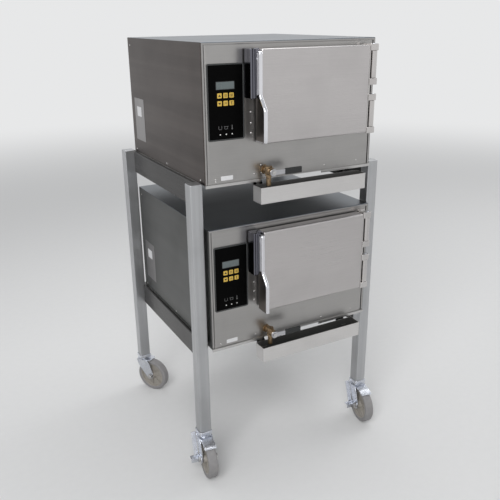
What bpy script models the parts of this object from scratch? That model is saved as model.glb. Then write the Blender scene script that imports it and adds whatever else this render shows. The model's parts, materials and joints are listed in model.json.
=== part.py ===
"""Two electric steamers stacked on a four-legged stand with swivel casters.

X runs to the right, Y to the back and Z up, in metres. The origin is on the floor, in the
middle of the footprint. Each steamer has its own frame, whose zero is the middle of the
front panel's foot, and each caster has one on its swivel axis at the floor.
"""
import math

import bmesh
import bpy
from mathutils import Matrix, Vector

# Clearances, shared by all pieces
GAP = 0.0003
OVERRUN = 0.006
BITE = 0.0008
SHEET = 0.0012

# Stand: square tube legs and angle rails
LEG_TUBE = 0.0381
LEG_WALL = 0.0016
LEG_CORNER = 0.003
LEG_LENGTH = 0.813
LEG_FOOT = 0.1465
STAND_WIDTH = 0.6572
STAND_DEPTH = 0.6041
STAND_SETBACK = 0.007
RAIL_DROP = 0.072
RAIL_FLANGE = 0.050
RAIL_WALL = 0.003
RAIL_INSET = 0.0325
CROSS_RAIL_FLANGE = 0.026
CROSS_RAIL_INSET = 0.011
UPPER_SHELF = 0.954
LOWER_SHELF = 0.4455
LOWER_FORWARD = 0.0096

# Casters
WHEEL_RADIUS = 0.0625
TYRE_WIDTH = 0.030
TYRE_DEPTH = 0.0125
TYRE_SHOULDER = 0.005
RIM_DEPTH = 0.005
RIM_WIDTH = 0.026
HUB_RADIUS = 0.013
HUB_WIDTH = 0.036
WEB_WIDTH = 0.012
AXLE_RADIUS = 0.005
AXLE_CLEARANCE = 0.0004
AXLE_HEAD_RADIUS = 0.009
AXLE_HEAD = 0.005
CASTER_TRAIL = 0.040
FORK_PLATE = 0.003
FORK_INSIDE = 0.040
CROWN_RADIUS = 0.025
CROWN_RAISE = 0.0035
ARM_END_RADIUS = 0.011
ARM_TOP_REACH_BACK = 0.019
ARM_TOP_REACH_FRONT = 0.023
RACEWAY_RADIUS = 0.022
RACEWAY_HEIGHT = 0.009
SOCKET_WALL = 0.0026
SOCKET_SKIRT = 0.014
SOCKET_FLOOR = 0.004
FRONT_LEFT_HEADING = math.radians(-7.5)
FRONT_RIGHT_HEADING = math.radians(-9.0)
BACK_LEFT_HEADING = math.radians(35.5)
BACK_RIGHT_HEADING = math.radians(156.5)

# Brake pedals on the front casters
PEDAL_PLATE = 0.0025
PEDAL_RING_RADIUS = 0.0125
PEDAL_REACH = 0.034
PEDAL_ARM_HEIGHT = 0.012
PEDAL_TAB_WIDTH = 0.026
PEDAL_TAB_LENGTH = 0.022

# Steamer casing
CABINET_WIDTH = 0.5715
CABINET_DEPTH = 0.588
CABINET_HEIGHT = 0.379
CASING_BEND = 0.002
CASING_RETURN = 0.0075
PANEL_FLANGE = 0.014
PANEL_BEND = 0.006
LIP_PROUD = 0.004
LIP_DROP = 0.0085
NOTCH_LEFT = -0.111
NOTCH_RIGHT = 0.101
VENT_COUNT = 9
VENT_WIDTH = 0.006
VENT_HEIGHT = 0.060
VENT_PITCH = 0.018
VENT_SIDE = 0.170
VENT_FOOT = 0.245
INLET_RADIUS = 0.014
INLET_SIDE = -0.200
INLET_HEIGHT = 0.070

# Cooking chamber and its pan rack
CHAMBER_LEFT = -0.113
CHAMBER_RIGHT = 0.2255
CHAMBER_FLOOR = 0.1235
CHAMBER_CEILING = 0.3425
CHAMBER_DEPTH = 0.543
CHAMBER_BEND = 0.003
CHAMBER_FLANGE = 0.014
CHAMBER_REVEAL = 0.001
DRAIN_RADIUS = 0.012
DRAIN_SIDE = 0.045
DRAIN_BACK = 0.060
ROD_RADIUS = 0.003
RACK_SIDE_OFFSET = 0.0034
RUNNER_OFFSET = 0.0055
RACK_FRONT = 0.050
RACK_BACK = 0.490
RUNNER_FIRST = 0.066
RUNNER_PITCH = 0.0665
RUNNER_COUNT = 3
RUNNER_OVERHANG = 0.020
POST_ABOVE_RUNNER = 0.009

# Door, gasket and liner
DOOR_LEFT = -0.1255
DOOR_RIGHT = 0.238
DOOR_BOTTOM = 0.1065
DOOR_TOP = 0.3595
DOOR_FRONT = 0.040
DOOR_EDGE_RADIUS = 0.004
GASKET_RADIUS = 0.0039
GASKET_MARGIN = 0.0065
GASKET_CORNER = 0.012
LINER_PLUG = 0.0115
LINER_PLUG_CLEARANCE = 0.006
LINER_SLOPE = 0.004

# Door hinge
HINGE_X = 0.2575
HINGE_Y = -0.030
HINGE_PLATE = 0.003
HINGE_BARREL_RADIUS = 0.010
HINGE_BARREL = 0.0775
HINGE_KNUCKLE = 0.019
HINGE_OVERHANG = 0.003
HINGE_WEB = 0.008
HINGE_PIN_RADIUS = 0.0038
HINGE_PIN_CLEARANCE = 0.0004
HINGE_POST_WIDTH = 0.026
KNUCKLE_HALF = 0.0105
KNUCKLE_ROUND = 0.003
STRAP_FRONT_MARGIN = 0.0025
STRAP_BACK_MARGIN = 0.002

# Latch: housing on the door's edge, pull handle on its pin, strike on the panel
HOUSING_WIDTH = 0.0352
HOUSING_HEIGHT = 0.129
HOUSING_ABOVE_DOOR = 0.0015
HOUSING_BACK = 0.0055
HOUSING_BASE_FRONT = 0.0265
HOUSING_FRONT = 0.0425
HOUSING_CHEEK = 0.0180
HOUSING_ROUND = 0.006
HOUSING_INNER_ROUND = 0.002
HOUSING_EDGE = 0.0015
GROOVE_WIDTH = 0.0022
GROOVE_DEPTH = 0.0012
GROOVE_PITCH = 0.0055
GROOVE_COUNT = 2
HANDLE_WIDTH = 0.012
HANDLE_CLEARANCE = 0.003
HANDLE_WALL = 0.002
HANDLE_BACK = 0.0315
HANDLE_UPPER_FRONT = 0.050
HANDLE_LOWER_FRONT = 0.079
HANDLE_TOP = 0.3453
HANDLE_KINK_TOP = 0.2378
HANDLE_KINK_BOTTOM = 0.2045
HANDLE_BOTTOM = 0.1138
HANDLE_TOP_ROUND = 0.006
HANDLE_KINK_ROUND = 0.022
HANDLE_TOE_ROUND = 0.004
LATCH_PIN_Y = -0.037
LATCH_PIN_Z = 0.335
LATCH_PIN_RADIUS = 0.003
LATCH_PIN_CLEARANCE = 0.0004
LATCH_PIN_HEAD_RADIUS = 0.0045
LATCH_PIN_HEAD = 0.0016
STRIKE_PLATE = 0.0025
STRIKE_WIDTH = 0.022
STRIKE_HEIGHT = 0.090
STRIKE_BOSS_WIDTH = 0.010
STRIKE_BOSS_HEIGHT = 0.040
STRIKE_BOSS_REACH = 0.009
STRIKE_BOSS_ROUND = 0.003
STRIKE_CLEARANCE = 0.0026

# Control panel
CONTROL_LEFT = -0.272
CONTROL_WIDTH = 0.1115
CONTROL_BOTTOM = 0.1205
CONTROL_HEIGHT = 0.204
CONTROL_THICKNESS = 0.003
CONTROL_CORNER = 0.007
CONTROL_RIM = 0.004
CONTROL_RECESS = 0.0009
KEY_SIZE = 0.0138
KEY_ROUND = 0.0015
KEY_RAISE = 0.0005
KEY_PITCH_X = 0.0181
KEY_PITCH_Z = 0.0206
KEY_FIRST_X = 0.0365
KEY_FIRST_Z = 0.1004
WINDOW_LEFT = 0.0276
WINDOW_BOTTOM = 0.1378
WINDOW_WIDTH = 0.0531
WINDOW_HEIGHT = 0.0185
WINDOW_DEPTH = 0.0006
LAMP_RADIUS = 0.0016
LAMP_HEIGHT = 0.0168

# Drain valve and its lever
VALVE_X = -0.097
VALVE_Y = -0.026
VALVE_Z = 0.0255
VALVE_BODY_RADIUS = 0.0115
VALVE_BODY_LENGTH = 0.030
VALVE_HEX_RADIUS = 0.0125
VALVE_HEX_LENGTH = 0.008
VALVE_BOSS_RADIUS = 0.0135
VALVE_BOSS_FRONT = 0.045
VALVE_STEM_RADIUS = 0.005
VALVE_PIPE_RADIUS = 0.0080
VALVE_COLLAR_RADIUS = 0.0140
VALVE_COLLAR = 0.004
OUTLET_FOOT = -0.0225
LEVER_CENTRE_Y = -0.0545
LEVER_PLATE = 0.0024
LEVER_HUB_RADIUS = 0.0105
LEVER_BAR_HEIGHT = 0.013
LEVER_NUT_RADIUS = 0.006
LEVER_NUT = 0.0035
GRIP_START = 0.038
GRIP_LENGTH = 0.055
GRIP_HEIGHT = 0.0185
GRIP_THICKNESS = 0.007
GRIP_ROUND = 0.0025

# Drip trough
TROUGH_LEFT = -0.134
TROUGH_LENGTH = 0.370
TROUGH_DEPTH = 0.048
TROUGH_HEIGHT = 0.048
TROUGH_TOP = -0.0165
TROUGH_BEND = 0.002
HANGER_WIDTH = 0.020
HANGER_SHEET = 0.0015
HANGER_DROP = 0.022
HANGER_RUN = 0.030
HANGER_FLANGE = 0.020
HANGER_END_OFFSET = 0.030

# Facets of round forms
SMALL_SIDES = 12
ROUND_SIDES = 24
WHEEL_STEPS = 32
HEX_SIDES = 6
ROD_SIDES = 8


def clear_scene():
    """Removes whatever the file starts with."""
    for item in list(bpy.data.objects):
        bpy.data.objects.remove(item, do_unlink=True)


def make_collection(name):
    group = bpy.data.collections.new(name)
    bpy.context.scene.collection.children.link(group)
    return group


def make_material(name, color, roughness, metallic):
    finish = bpy.data.materials.new(name)
    finish.use_nodes = True
    shader = finish.node_tree.nodes["Principled BSDF"]
    shader.inputs["Base Color"].default_value = (*color, 1.0)
    shader.inputs["Roughness"].default_value = roughness
    shader.inputs["Metallic"].default_value = metallic
    return finish


clear_scene()
PARTS = make_collection("stacked_steamers")
TOOLS = make_collection("cutters_and_joined_forms")

STEEL = make_material("brushed_steel", (0.50, 0.49, 0.47), 0.32, 1.0)
PANEL_STEEL = make_material("front_steel", (0.60, 0.59, 0.58), 0.28, 1.0)
TUBE_STEEL = make_material("leg_steel", (0.55, 0.55, 0.56), 0.30, 1.0)
CHROME = make_material("polished_chrome", (0.80, 0.81, 0.84), 0.08, 1.0)
ZINC = make_material("zinc_plate", (0.62, 0.64, 0.66), 0.30, 1.0)
RUBBER = make_material("grey_tyre_and_hub", (0.20, 0.20, 0.20), 0.70, 0.0)
SEAL = make_material("black_silicone", (0.03, 0.03, 0.03), 0.60, 0.0)
BLACK = make_material("black_panel", (0.01, 0.01, 0.01), 0.35, 0.0)
BRASS = make_material("brass", (0.62, 0.42, 0.20), 0.35, 1.0)


def empty(name, location, turn=0.0, parent=None):
    """An axis marker that carries the pieces placed around it."""
    marker = bpy.data.objects.new(name, None)
    marker.empty_display_size = LEG_TUBE
    marker.location = location
    marker.rotation_euler = (0.0, 0.0, turn)
    marker.parent = parent
    PARTS.objects.link(marker)
    return marker


def add_object(name, mesh, parent, origin, finish, smooth_angle):
    """Puts a mesh, drawn in its parent's frame, on an object whose origin is at origin."""
    mesh.transform(Matrix.Translation(-Vector(origin)))
    item = bpy.data.objects.new(name, mesh)
    item.location = origin
    item.parent = parent
    if finish is None:
        item.hide_render = True
        item.display_type = "WIRE"
        TOOLS.objects.link(item)
    else:
        mesh.materials.append(finish)
        PARTS.objects.link(item)
    if smooth_angle:
        mesh.shade_smooth()
        mesh.set_sharp_from_angle(angle=smooth_angle)
    return item


def from_bmesh(name, shape, parent, origin=(0.0, 0.0, 0.0), finish=None, smooth_angle=0.0):
    """Turns a bmesh into an object, and a cutter or joined form where it has no finish."""
    mesh = bpy.data.meshes.new(name)
    shape.to_mesh(mesh)
    shape.free()
    return add_object(name, mesh, parent, origin, finish, smooth_angle)


def box_shape(low, high):
    """A box between two corners, as a bmesh."""
    low, high = Vector(low), Vector(high)
    shape = bmesh.new()
    bmesh.ops.create_cube(shape, size=1.0)
    shape.transform(Matrix.Translation((low + high) / 2) @ Matrix.Diagonal((high - low).to_4d()))
    return shape


def edges_along(shape, axis):
    """The edges of a box that run along axis 0, 1 or 2."""
    found = []
    for edge in shape.edges:
        run = edge.verts[0].co - edge.verts[1].co
        if abs(run[axis]) > 0.999 * run.length:
            found.append(edge)
    return found


def round_edges(shape, edges, radius, segments):
    bmesh.ops.bevel(
        shape, geom=edges, offset=radius, segments=segments, profile=0.5,
        affect="EDGES", clamp_overlap=True)


def rounded_box(low, high, axis, radius, segments=2):
    """A box whose four edges along one axis are rounded."""
    shape = box_shape(low, high)
    round_edges(shape, edges_along(shape, axis), radius, segments)
    return shape


def faces_towards(shape, direction):
    aim = Vector(direction)
    return [face for face in shape.faces if face.normal.dot(aim) > 0.99]


def axis_turn(axis):
    """Turns +Z onto +X or +Y, or leaves it."""
    if axis == "X":
        return Matrix.Rotation(math.pi / 2, 4, "Y")
    if axis == "Y":
        return Matrix.Rotation(-math.pi / 2, 4, "X")
    return Matrix.Identity(4)


def cylinder_shape(axis, centre, start, end, radius, sides=SMALL_SIDES):
    """A cylinder along an axis from start to end; centre gives its other two coordinates."""
    shape = bmesh.new()
    bmesh.ops.create_cone(
        shape, cap_ends=True, segments=sides, radius1=radius, radius2=radius, depth=end - start)
    middle = Vector(centre)
    middle["XYZ".index(axis)] = (start + end) / 2
    shape.transform(Matrix.Translation(middle) @ axis_turn(axis))
    return shape


def filleted(corners, steps=3):
    """Walks a polygon of (u, v, radius) corners and rounds each one with an arc."""
    outline = []
    count = len(corners)
    for index, (u, v, radius) in enumerate(corners):
        corner = Vector((u, v))
        before = (Vector(corners[index - 1][:2]) - corner).normalized()
        after = (Vector(corners[(index + 1) % count][:2]) - corner).normalized()
        if radius == 0.0:
            outline.append(corner)
            continue
        half = before.angle(after) / 2
        centre = corner + (before + after).normalized() * radius / math.sin(half)
        start = corner + before * radius / math.tan(half) - centre
        end = corner + after * radius / math.tan(half) - centre
        sweep = start.angle_signed(end)
        for step in range(steps + 1):
            turn = Matrix.Rotation(-sweep * step / steps, 2)
            outline.append(centre + turn @ start)
    return outline


def outline_mesh(name, outline, depth, placing):
    """Extrudes a flat outline: a 2D curve filled on both sides, made a mesh and welded."""
    curve = bpy.data.curves.new(name, "CURVE")
    curve.dimensions = "2D"
    curve.fill_mode = "BOTH"
    curve.extrude = depth / 2
    spline = curve.splines.new("POLY")
    spline.points.add(len(outline) - 1)
    for point, place in zip(spline.points, outline):
        point.co = (place.x, place.y, 0.0, 1.0)
    spline.use_cyclic_u = True
    holder = bpy.data.objects.new(name, curve)
    TOOLS.objects.link(holder)
    depsgraph = bpy.context.evaluated_depsgraph_get()
    mesh = bpy.data.meshes.new_from_object(holder.evaluated_get(depsgraph))
    bpy.data.objects.remove(holder, do_unlink=True)
    bpy.data.curves.remove(curve)
    shape = bmesh.new()
    shape.from_mesh(mesh)
    bpy.data.meshes.remove(mesh)
    bmesh.ops.remove_doubles(shape, verts=shape.verts, dist=GAP / 10)
    bmesh.ops.recalc_face_normals(shape, faces=shape.faces)
    shape.transform(placing)
    return shape


def ring_surface(rings):
    """Joins closed rings of equal count with quads and closes the last one with a face."""
    shape = bmesh.new()
    loops = [[shape.verts.new(place) for place in ring] for ring in rings]
    for outer, inner in zip(loops, loops[1:]):
        for index, corner in enumerate(outer):
            after = (index + 1) % len(outer)
            shape.faces.new((corner, outer[after], inner[after], inner[index]))
    shape.faces.new(loops[-1])
    return shape


def plane_placing(normal, middle):
    """Places an outline drawn in (u, v): on X it holds (y, z), on Y (x, z), on Z (x, y)."""
    if normal == "X":
        turn = Matrix(((0, 0, 1, 0), (1, 0, 0, 0), (0, 1, 0, 0), (0, 0, 0, 1)))
        return Matrix.Translation((middle, 0.0, 0.0)) @ turn
    if normal == "Y":
        turn = Matrix(((1, 0, 0, 0), (0, 0, -1, 0), (0, 1, 0, 0), (0, 0, 0, 1)))
        return Matrix.Translation((0.0, middle, 0.0)) @ turn
    return Matrix.Translation((0.0, 0.0, middle))


def profile_solid(name, corners, normal, start, end, steps=3):
    """An outline with filleted corners, extruded along an axis from start to end."""
    placing = plane_placing(normal, (start + end) / 2)
    return outline_mesh(name, filleted(corners, steps), end - start, placing)


def add_boolean(item, other, operation):
    step = item.modifiers.new(f"{operation.lower()} {other.name}", "BOOLEAN")
    step.object = other
    step.operation = operation
    step.solver = "EXACT"


def cut(item, cutter):
    add_boolean(item, cutter, "DIFFERENCE")


def join(item, other):
    add_boolean(item, other, "UNION")


def add_solidify(item, thickness, offset):
    shell = item.modifiers.new("sheet", "SOLIDIFY")
    shell.thickness = thickness
    shell.offset = offset
    shell.use_even_offset = True


def add_bevel(item, width, segments=1):
    soften = item.modifiers.new("edges", "BEVEL")
    soften.width = width
    soften.segments = segments
    soften.limit_method = "ANGLE"
    soften.angle_limit = math.radians(50)


# Places that follow from the sizes above
LEG_CENTRE_X = (STAND_WIDTH - LEG_TUBE) / 2
FRONT_LEG_Y = STAND_SETBACK + LEG_TUBE / 2
BACK_LEG_Y = STAND_SETBACK + STAND_DEPTH - LEG_TUBE / 2
LEG_TOP = LEG_FOOT + LEG_LENGTH
WHEEL_SWEEP = CASTER_TRAIL + WHEEL_RADIUS
AXLE_HEIGHT = WHEEL_RADIUS * math.cos(math.pi / WHEEL_STEPS)
FRONT_REACH = LOWER_FORWARD + HANDLE_LOWER_FRONT
BACK_REACH = BACK_LEG_Y - WHEEL_SWEEP * math.cos(BACK_RIGHT_HEADING)
FOOTPRINT_MIDDLE = (BACK_REACH - FRONT_REACH) / 2
BASE_THICKNESS = GAP + SHEET
HOUSING_LEFT = DOOR_LEFT - GAP - HOUSING_WIDTH
HANDLE_RIGHT = DOOR_LEFT - HANDLE_CLEARANCE
HANDLE_LEFT = HANDLE_RIGHT - HANDLE_WIDTH
DOOR_BACK = 2 * GAP + 2 * GASKET_RADIUS
CHAMBER_FRONT = SHEET + GAP
LEG_PLACES = {
    "front_left": (-LEG_CENTRE_X, FRONT_LEG_Y, FRONT_LEFT_HEADING),
    "front_right": (LEG_CENTRE_X, FRONT_LEG_Y, FRONT_RIGHT_HEADING),
    "back_left": (-LEG_CENTRE_X, BACK_LEG_Y, BACK_LEFT_HEADING),
    "back_right": (LEG_CENTRE_X, BACK_LEG_Y, BACK_RIGHT_HEADING),
}


def make_leg(name, stand, x, y):
    """A square tube with a closed top, open at its foot for the caster's plug."""
    half = LEG_TUBE / 2
    shape = rounded_box((x - half, y - half, LEG_FOOT), (x + half, y + half, LEG_TOP), 2, LEG_CORNER)
    leg = from_bmesh(name, shape, stand, (x, y, LEG_FOOT), TUBE_STEEL, math.radians(40))
    inner = half - LEG_WALL
    low = (x - inner, y - inner, LEG_FOOT - OVERRUN)
    bore = box_shape(low, (x + inner, y + inner, LEG_TOP - LEG_WALL))
    cut(leg, from_bmesh(f"bore_of_{name}", bore, stand))


def angle_section(outer, flange, shelf, side):
    """The L of an angle rail in (u, z): an upright at outer, its flange running inwards."""
    top = shelf
    inwards = -side
    return [
        (outer, top, RAIL_WALL / 2),
        (outer, top - RAIL_DROP, 0.0),
        (outer + inwards * RAIL_WALL, top - RAIL_DROP, 0.0),
        (outer + inwards * RAIL_WALL, top - RAIL_WALL, RAIL_WALL / 2),
        (outer + inwards * flange, top - RAIL_WALL, 0.0),
        (outer + inwards * flange, top, 0.0),
    ]


def make_side_rail(name, stand, shelf, side):
    outer = side * (STAND_WIDTH / 2 - RAIL_INSET)
    start = FRONT_LEG_Y + LEG_TUBE / 2 + GAP
    end = BACK_LEG_Y - LEG_TUBE / 2 - GAP
    corners = angle_section(outer, RAIL_FLANGE, shelf, side)
    shape = profile_solid(name, corners, "Y", start, end)
    from_bmesh(name, shape, stand, finish=TUBE_STEEL)


def make_cross_rail(name, stand, shelf):
    """The back rail between the two back legs, with its flange under the cabinet."""
    outer = STAND_SETBACK + STAND_DEPTH - CROSS_RAIL_INSET
    reach = LEG_CENTRE_X - LEG_TUBE / 2 - GAP
    corners = angle_section(outer, CROSS_RAIL_FLANGE, shelf, 1)
    shape = profile_solid(name, corners, "X", -reach, reach)
    from_bmesh(name, shape, stand, finish=TUBE_STEEL)


def make_caster_socket(name, stand, x, y):
    """The fixed half of a caster: a cup round the leg's foot over a round raceway."""
    outer = LEG_TUBE / 2 + GAP + SOCKET_WALL
    floor = LEG_FOOT - GAP - SOCKET_FLOOR
    low = (x - outer, y - outer, floor)
    high = (x + outer, y + outer, LEG_FOOT + SOCKET_SKIRT)
    shape = rounded_box(low, high, 2, LEG_CORNER + SOCKET_WALL)
    socket = from_bmesh(name, shape, stand, (x, y, floor), ZINC, math.radians(40))
    inner = outer - SOCKET_WALL
    low = (x - inner, y - inner, LEG_FOOT - GAP)
    high = (x + inner, y + inner, LEG_FOOT + SOCKET_SKIRT + OVERRUN)
    cup = rounded_box(low, high, 2, LEG_CORNER)
    cut(socket, from_bmesh(f"cup_of_{name}", cup, stand))
    race = cylinder_shape(
        "Z", (x, y, 0.0), floor - RACEWAY_HEIGHT, floor + BITE, RACEWAY_RADIUS, ROUND_SIDES)
    join(socket, from_bmesh(f"raceway_of_{name}", race, stand))


def fork_arm_corners():
    """Side view of a fork arm in (y, z): broad under the crown, round at the axle."""
    top = crown_top()
    low = AXLE_HEIGHT - ARM_END_RADIUS
    return [
        (ARM_TOP_REACH_BACK, top, 0.002),
        (-ARM_TOP_REACH_FRONT, top, 0.002),
        (-ARM_TOP_REACH_FRONT - ARM_END_RADIUS, top - ARM_END_RADIUS, 0.010),
        (-CASTER_TRAIL - ARM_END_RADIUS, AXLE_HEIGHT + ARM_END_RADIUS, 0.010),
        (-CASTER_TRAIL - ARM_END_RADIUS, low, 0.9 * ARM_END_RADIUS),
        (-CASTER_TRAIL + ARM_END_RADIUS, low, 0.9 * ARM_END_RADIUS),
    ]


def crown_top():
    return LEG_FOOT - GAP - SOCKET_FLOOR - RACEWAY_HEIGHT - GAP


def make_fork(name, swivel):
    """The swivelling yoke: a crown disc, two arms and the axle bolt between them."""
    inside = FORK_INSIDE / 2
    top = crown_top()
    crown = cylinder_shape(
        "Z", (0.0, 0.0, 0.0), top - CROWN_RAISE, top, CROWN_RADIUS, ROUND_SIDES)
    fork = from_bmesh(name, crown, swivel, finish=ZINC, smooth_angle=math.radians(40))
    for side in (-1, 1):
        near, far = sorted((side * inside, side * (inside + FORK_PLATE)))
        arm = profile_solid("arm", fork_arm_corners(), "X", near, far)
        join(fork, from_bmesh(f"arm_{side}_of_{name}", arm, swivel))
    low = (-inside - BITE, -ARM_TOP_REACH_FRONT + BITE, top - CROWN_RAISE + BITE / 2)
    high = (inside + BITE, ARM_TOP_REACH_BACK - BITE, top - BITE / 2)
    join(fork, from_bmesh(f"bridge_of_{name}", box_shape(low, high), swivel))
    centre = (0.0, -CASTER_TRAIL, AXLE_HEIGHT)
    reach = inside + FORK_PLATE + PEDAL_PLATE + 2 * GAP
    bolt = cylinder_shape("X", centre, -reach - AXLE_HEAD, reach + AXLE_HEAD, AXLE_RADIUS)
    join(fork, from_bmesh(f"bolt_of_{name}", bolt, swivel))
    for side in (-1, 1):
        near, far = sorted((side * reach, side * (reach + AXLE_HEAD)))
        head = cylinder_shape("X", centre, near, far, AXLE_HEAD_RADIUS, HEX_SIDES)
        join(fork, from_bmesh(f"head_{side}_of_{name}", head, swivel))


def wheel_profile():
    """Half section as (radius, side) corners, clockwise: bore, hub, web, rim and tyre."""
    bore = AXLE_RADIUS + AXLE_CLEARANCE
    rim_outer = WHEEL_RADIUS - TYRE_DEPTH
    rim_inner = rim_outer - RIM_DEPTH
    crown = TYRE_SHOULDER / 3
    half = [
        (bore, HUB_WIDTH / 2),
        (HUB_RADIUS, HUB_WIDTH / 2),
        (HUB_RADIUS, WEB_WIDTH / 2),
        (rim_inner, WEB_WIDTH / 2),
        (rim_inner, RIM_WIDTH / 2),
        (rim_outer, RIM_WIDTH / 2),
        (rim_outer, TYRE_WIDTH / 2),
        (WHEEL_RADIUS - TYRE_SHOULDER, TYRE_WIDTH / 2),
        (WHEEL_RADIUS - crown, TYRE_WIDTH / 2 - crown),
        (WHEEL_RADIUS, TYRE_WIDTH / 2 - TYRE_SHOULDER),
    ]
    return half + [(radius, -side) for radius, side in reversed(half)]


def make_wheel(name, swivel):
    """A hub with a bonded tyre, turned round the axle."""
    shape = bmesh.new()
    turn = Matrix.Rotation(math.pi / WHEEL_STEPS, 3, "Z")
    ring = [shape.verts.new(turn @ Vector((radius, 0.0, side))) for radius, side in wheel_profile()]
    for index, vertex in enumerate(ring):
        shape.edges.new((vertex, ring[(index + 1) % len(ring)]))
    mesh = bpy.data.meshes.new(name)
    shape.to_mesh(mesh)
    shape.free()
    wheel = add_object(name, mesh, swivel, (0.0, 0.0, 0.0), RUBBER, 0.0)
    wheel.location = (0.0, -CASTER_TRAIL, AXLE_HEIGHT)
    wheel.rotation_euler = (0.0, math.pi / 2, 0.0)
    turning = wheel.modifiers.new("turning", "SCREW")
    turning.axis = "Z"
    turning.angle = math.tau
    turning.steps = WHEEL_STEPS
    turning.render_steps = WHEEL_STEPS
    turning.use_merge_vertices = True
    turning.merge_threshold = GAP / 10
    turning.use_smooth_shade = False


def make_brake_pedal(name, swivel):
    """A lever on the axle's left end: a ring, an arm to the back and a foot tab turned out."""
    near = -FORK_INSIDE / 2 - FORK_PLATE - GAP
    far = near - PEDAL_PLATE
    y, z = -CASTER_TRAIL, AXLE_HEIGHT
    ring = cylinder_shape("X", (0.0, y, z), far, near, PEDAL_RING_RADIUS, ROUND_SIDES)
    pedal = from_bmesh(name, ring, swivel, (0.0, y, z), ZINC, math.radians(40))
    half = PEDAL_ARM_HEIGHT / 2
    arm = [
        (y, z - half, 0.0),
        (y + PEDAL_REACH, z - half / 2, half / 2),
        (y + PEDAL_REACH, z + half, 0.0),
        (y, z + half, 0.0),
    ]
    join(pedal, from_bmesh(f"arm_of_{name}", profile_solid("arm", arm, "X", far, near), swivel))
    low = (far - PEDAL_TAB_WIDTH, y + PEDAL_REACH - PEDAL_TAB_LENGTH, z + half - PEDAL_PLATE)
    high = (far + BITE, y + PEDAL_REACH - BITE, z + half - BITE / 2)
    tab = rounded_box(low, high, 2, BITE * 2)
    join(pedal, from_bmesh(f"tab_of_{name}", tab, swivel))
    hole = cylinder_shape(
        "X", (0.0, y, z), far - OVERRUN, near + OVERRUN, AXLE_RADIUS + AXLE_CLEARANCE)
    cut(pedal, from_bmesh(f"hole_of_{name}", hole, swivel))


def make_casing(name, cabinet):
    """Top and sides in one bent sheet, with narrow returns round the front and the back."""
    half = CABINET_WIDTH / 2
    shape = box_shape((-half, 0.0, 0.0), (half, CABINET_DEPTH, CABINET_HEIGHT))
    shape.normal_update()
    floor = faces_towards(shape, (0, 0, -1))
    ends = faces_towards(shape, (0, -1, 0)) + faces_towards(shape, (0, 1, 0))
    bmesh.ops.inset_individual(shape, faces=ends, thickness=CASING_RETURN, use_even_offset=True)
    sills = [
        face for face in shape.faces
        if face not in ends and abs(face.normal.y) > 0.99
        and face.calc_center_median().z < CASING_RETURN]
    bmesh.ops.delete(shape, geom=floor + ends + sills, context="FACES_ONLY")
    for vertex in shape.verts:
        inside = abs(vertex.co.x) < half - CASING_RETURN / 2
        if inside and vertex.co.z < 2 * CASING_RETURN:
            vertex.co.z = 0.0
    loose = [edge for edge in shape.edges if not edge.link_faces]
    bmesh.ops.delete(shape, geom=loose, context="EDGES")
    bends = [
        edge for edge in shape.edges
        if len(edge.link_faces) == 2 and edge.calc_face_angle() > math.radians(80)]
    round_edges(shape, bends, CASING_BEND, 2)
    casing = from_bmesh(name, shape, cabinet, finish=STEEL, smooth_angle=math.radians(40))
    add_solidify(casing, SHEET, -1.0)


def make_front_panel(name, cabinet):
    """A shallow sheet tray, open behind, with the chamber's mouth and the drain hole."""
    half = CABINET_WIDTH / 2 - CASING_RETURN - GAP
    top = CABINET_HEIGHT - CASING_RETURN - GAP
    shape = box_shape((-half, 0.0, 0.0), (half, PANEL_FLANGE, top))
    shape.normal_update()
    bmesh.ops.delete(shape, geom=faces_towards(shape, (0, 1, 0)), context="FACES_ONLY")
    sides = [edge for edge in edges_along(shape, 2) if edge.verts[0].co.y < GAP]
    round_edges(shape, sides, PANEL_BEND, 3)
    panel = from_bmesh(name, shape, cabinet, finish=PANEL_STEEL, smooth_angle=math.radians(40))
    add_solidify(panel, SHEET, -1.0)
    low = (CHAMBER_LEFT - CHAMBER_REVEAL, -OVERRUN, CHAMBER_FLOOR - CHAMBER_REVEAL)
    high = (CHAMBER_RIGHT + CHAMBER_REVEAL, OVERRUN, CHAMBER_CEILING + CHAMBER_REVEAL)
    mouth = rounded_box(low, high, 1, CHAMBER_BEND)
    cut(panel, from_bmesh(f"mouth_of_{name}", mouth, cabinet))
    hole = cylinder_shape(
        "Y", (VALVE_X, 0.0, VALVE_Z), -OVERRUN, OVERRUN, VALVE_PIPE_RADIUS + 2 * GAP)
    cut(panel, from_bmesh(f"drain_hole_of_{name}", hole, cabinet))


def make_base_pan(name, cabinet):
    """The floor sheet under the casing, with a lip turned down at the front, cut at the drain."""
    half = CABINET_WIDTH / 2
    front = -LIP_PROUD + SHEET
    shape = box_shape((-half, front, -BASE_THICKNESS), (half, CABINET_DEPTH, 0.0))
    shape.normal_update()
    rest = [face for face in shape.faces if face.normal.z > -0.99]
    bmesh.ops.delete(shape, geom=rest, context="FACES")
    edge = [edge for edge in shape.edges if all(v.co.y < front + GAP for v in edge.verts)]
    lip = bmesh.ops.extrude_edge_only(shape, edges=edge)["geom"]
    for vertex in (part for part in lip if isinstance(part, bmesh.types.BMVert)):
        vertex.co.z = -LIP_DROP
    pan = from_bmesh(name, shape, cabinet, finish=STEEL)
    add_solidify(pan, SHEET, -1.0)
    low = (NOTCH_LEFT, -LIP_PROUD - OVERRUN, -LIP_DROP - OVERRUN)
    high = (NOTCH_RIGHT, front + OVERRUN, -BASE_THICKNESS - GAP)
    notch = box_shape(low, high)
    cut(pan, from_bmesh(f"notch_of_{name}", notch, cabinet))


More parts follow.
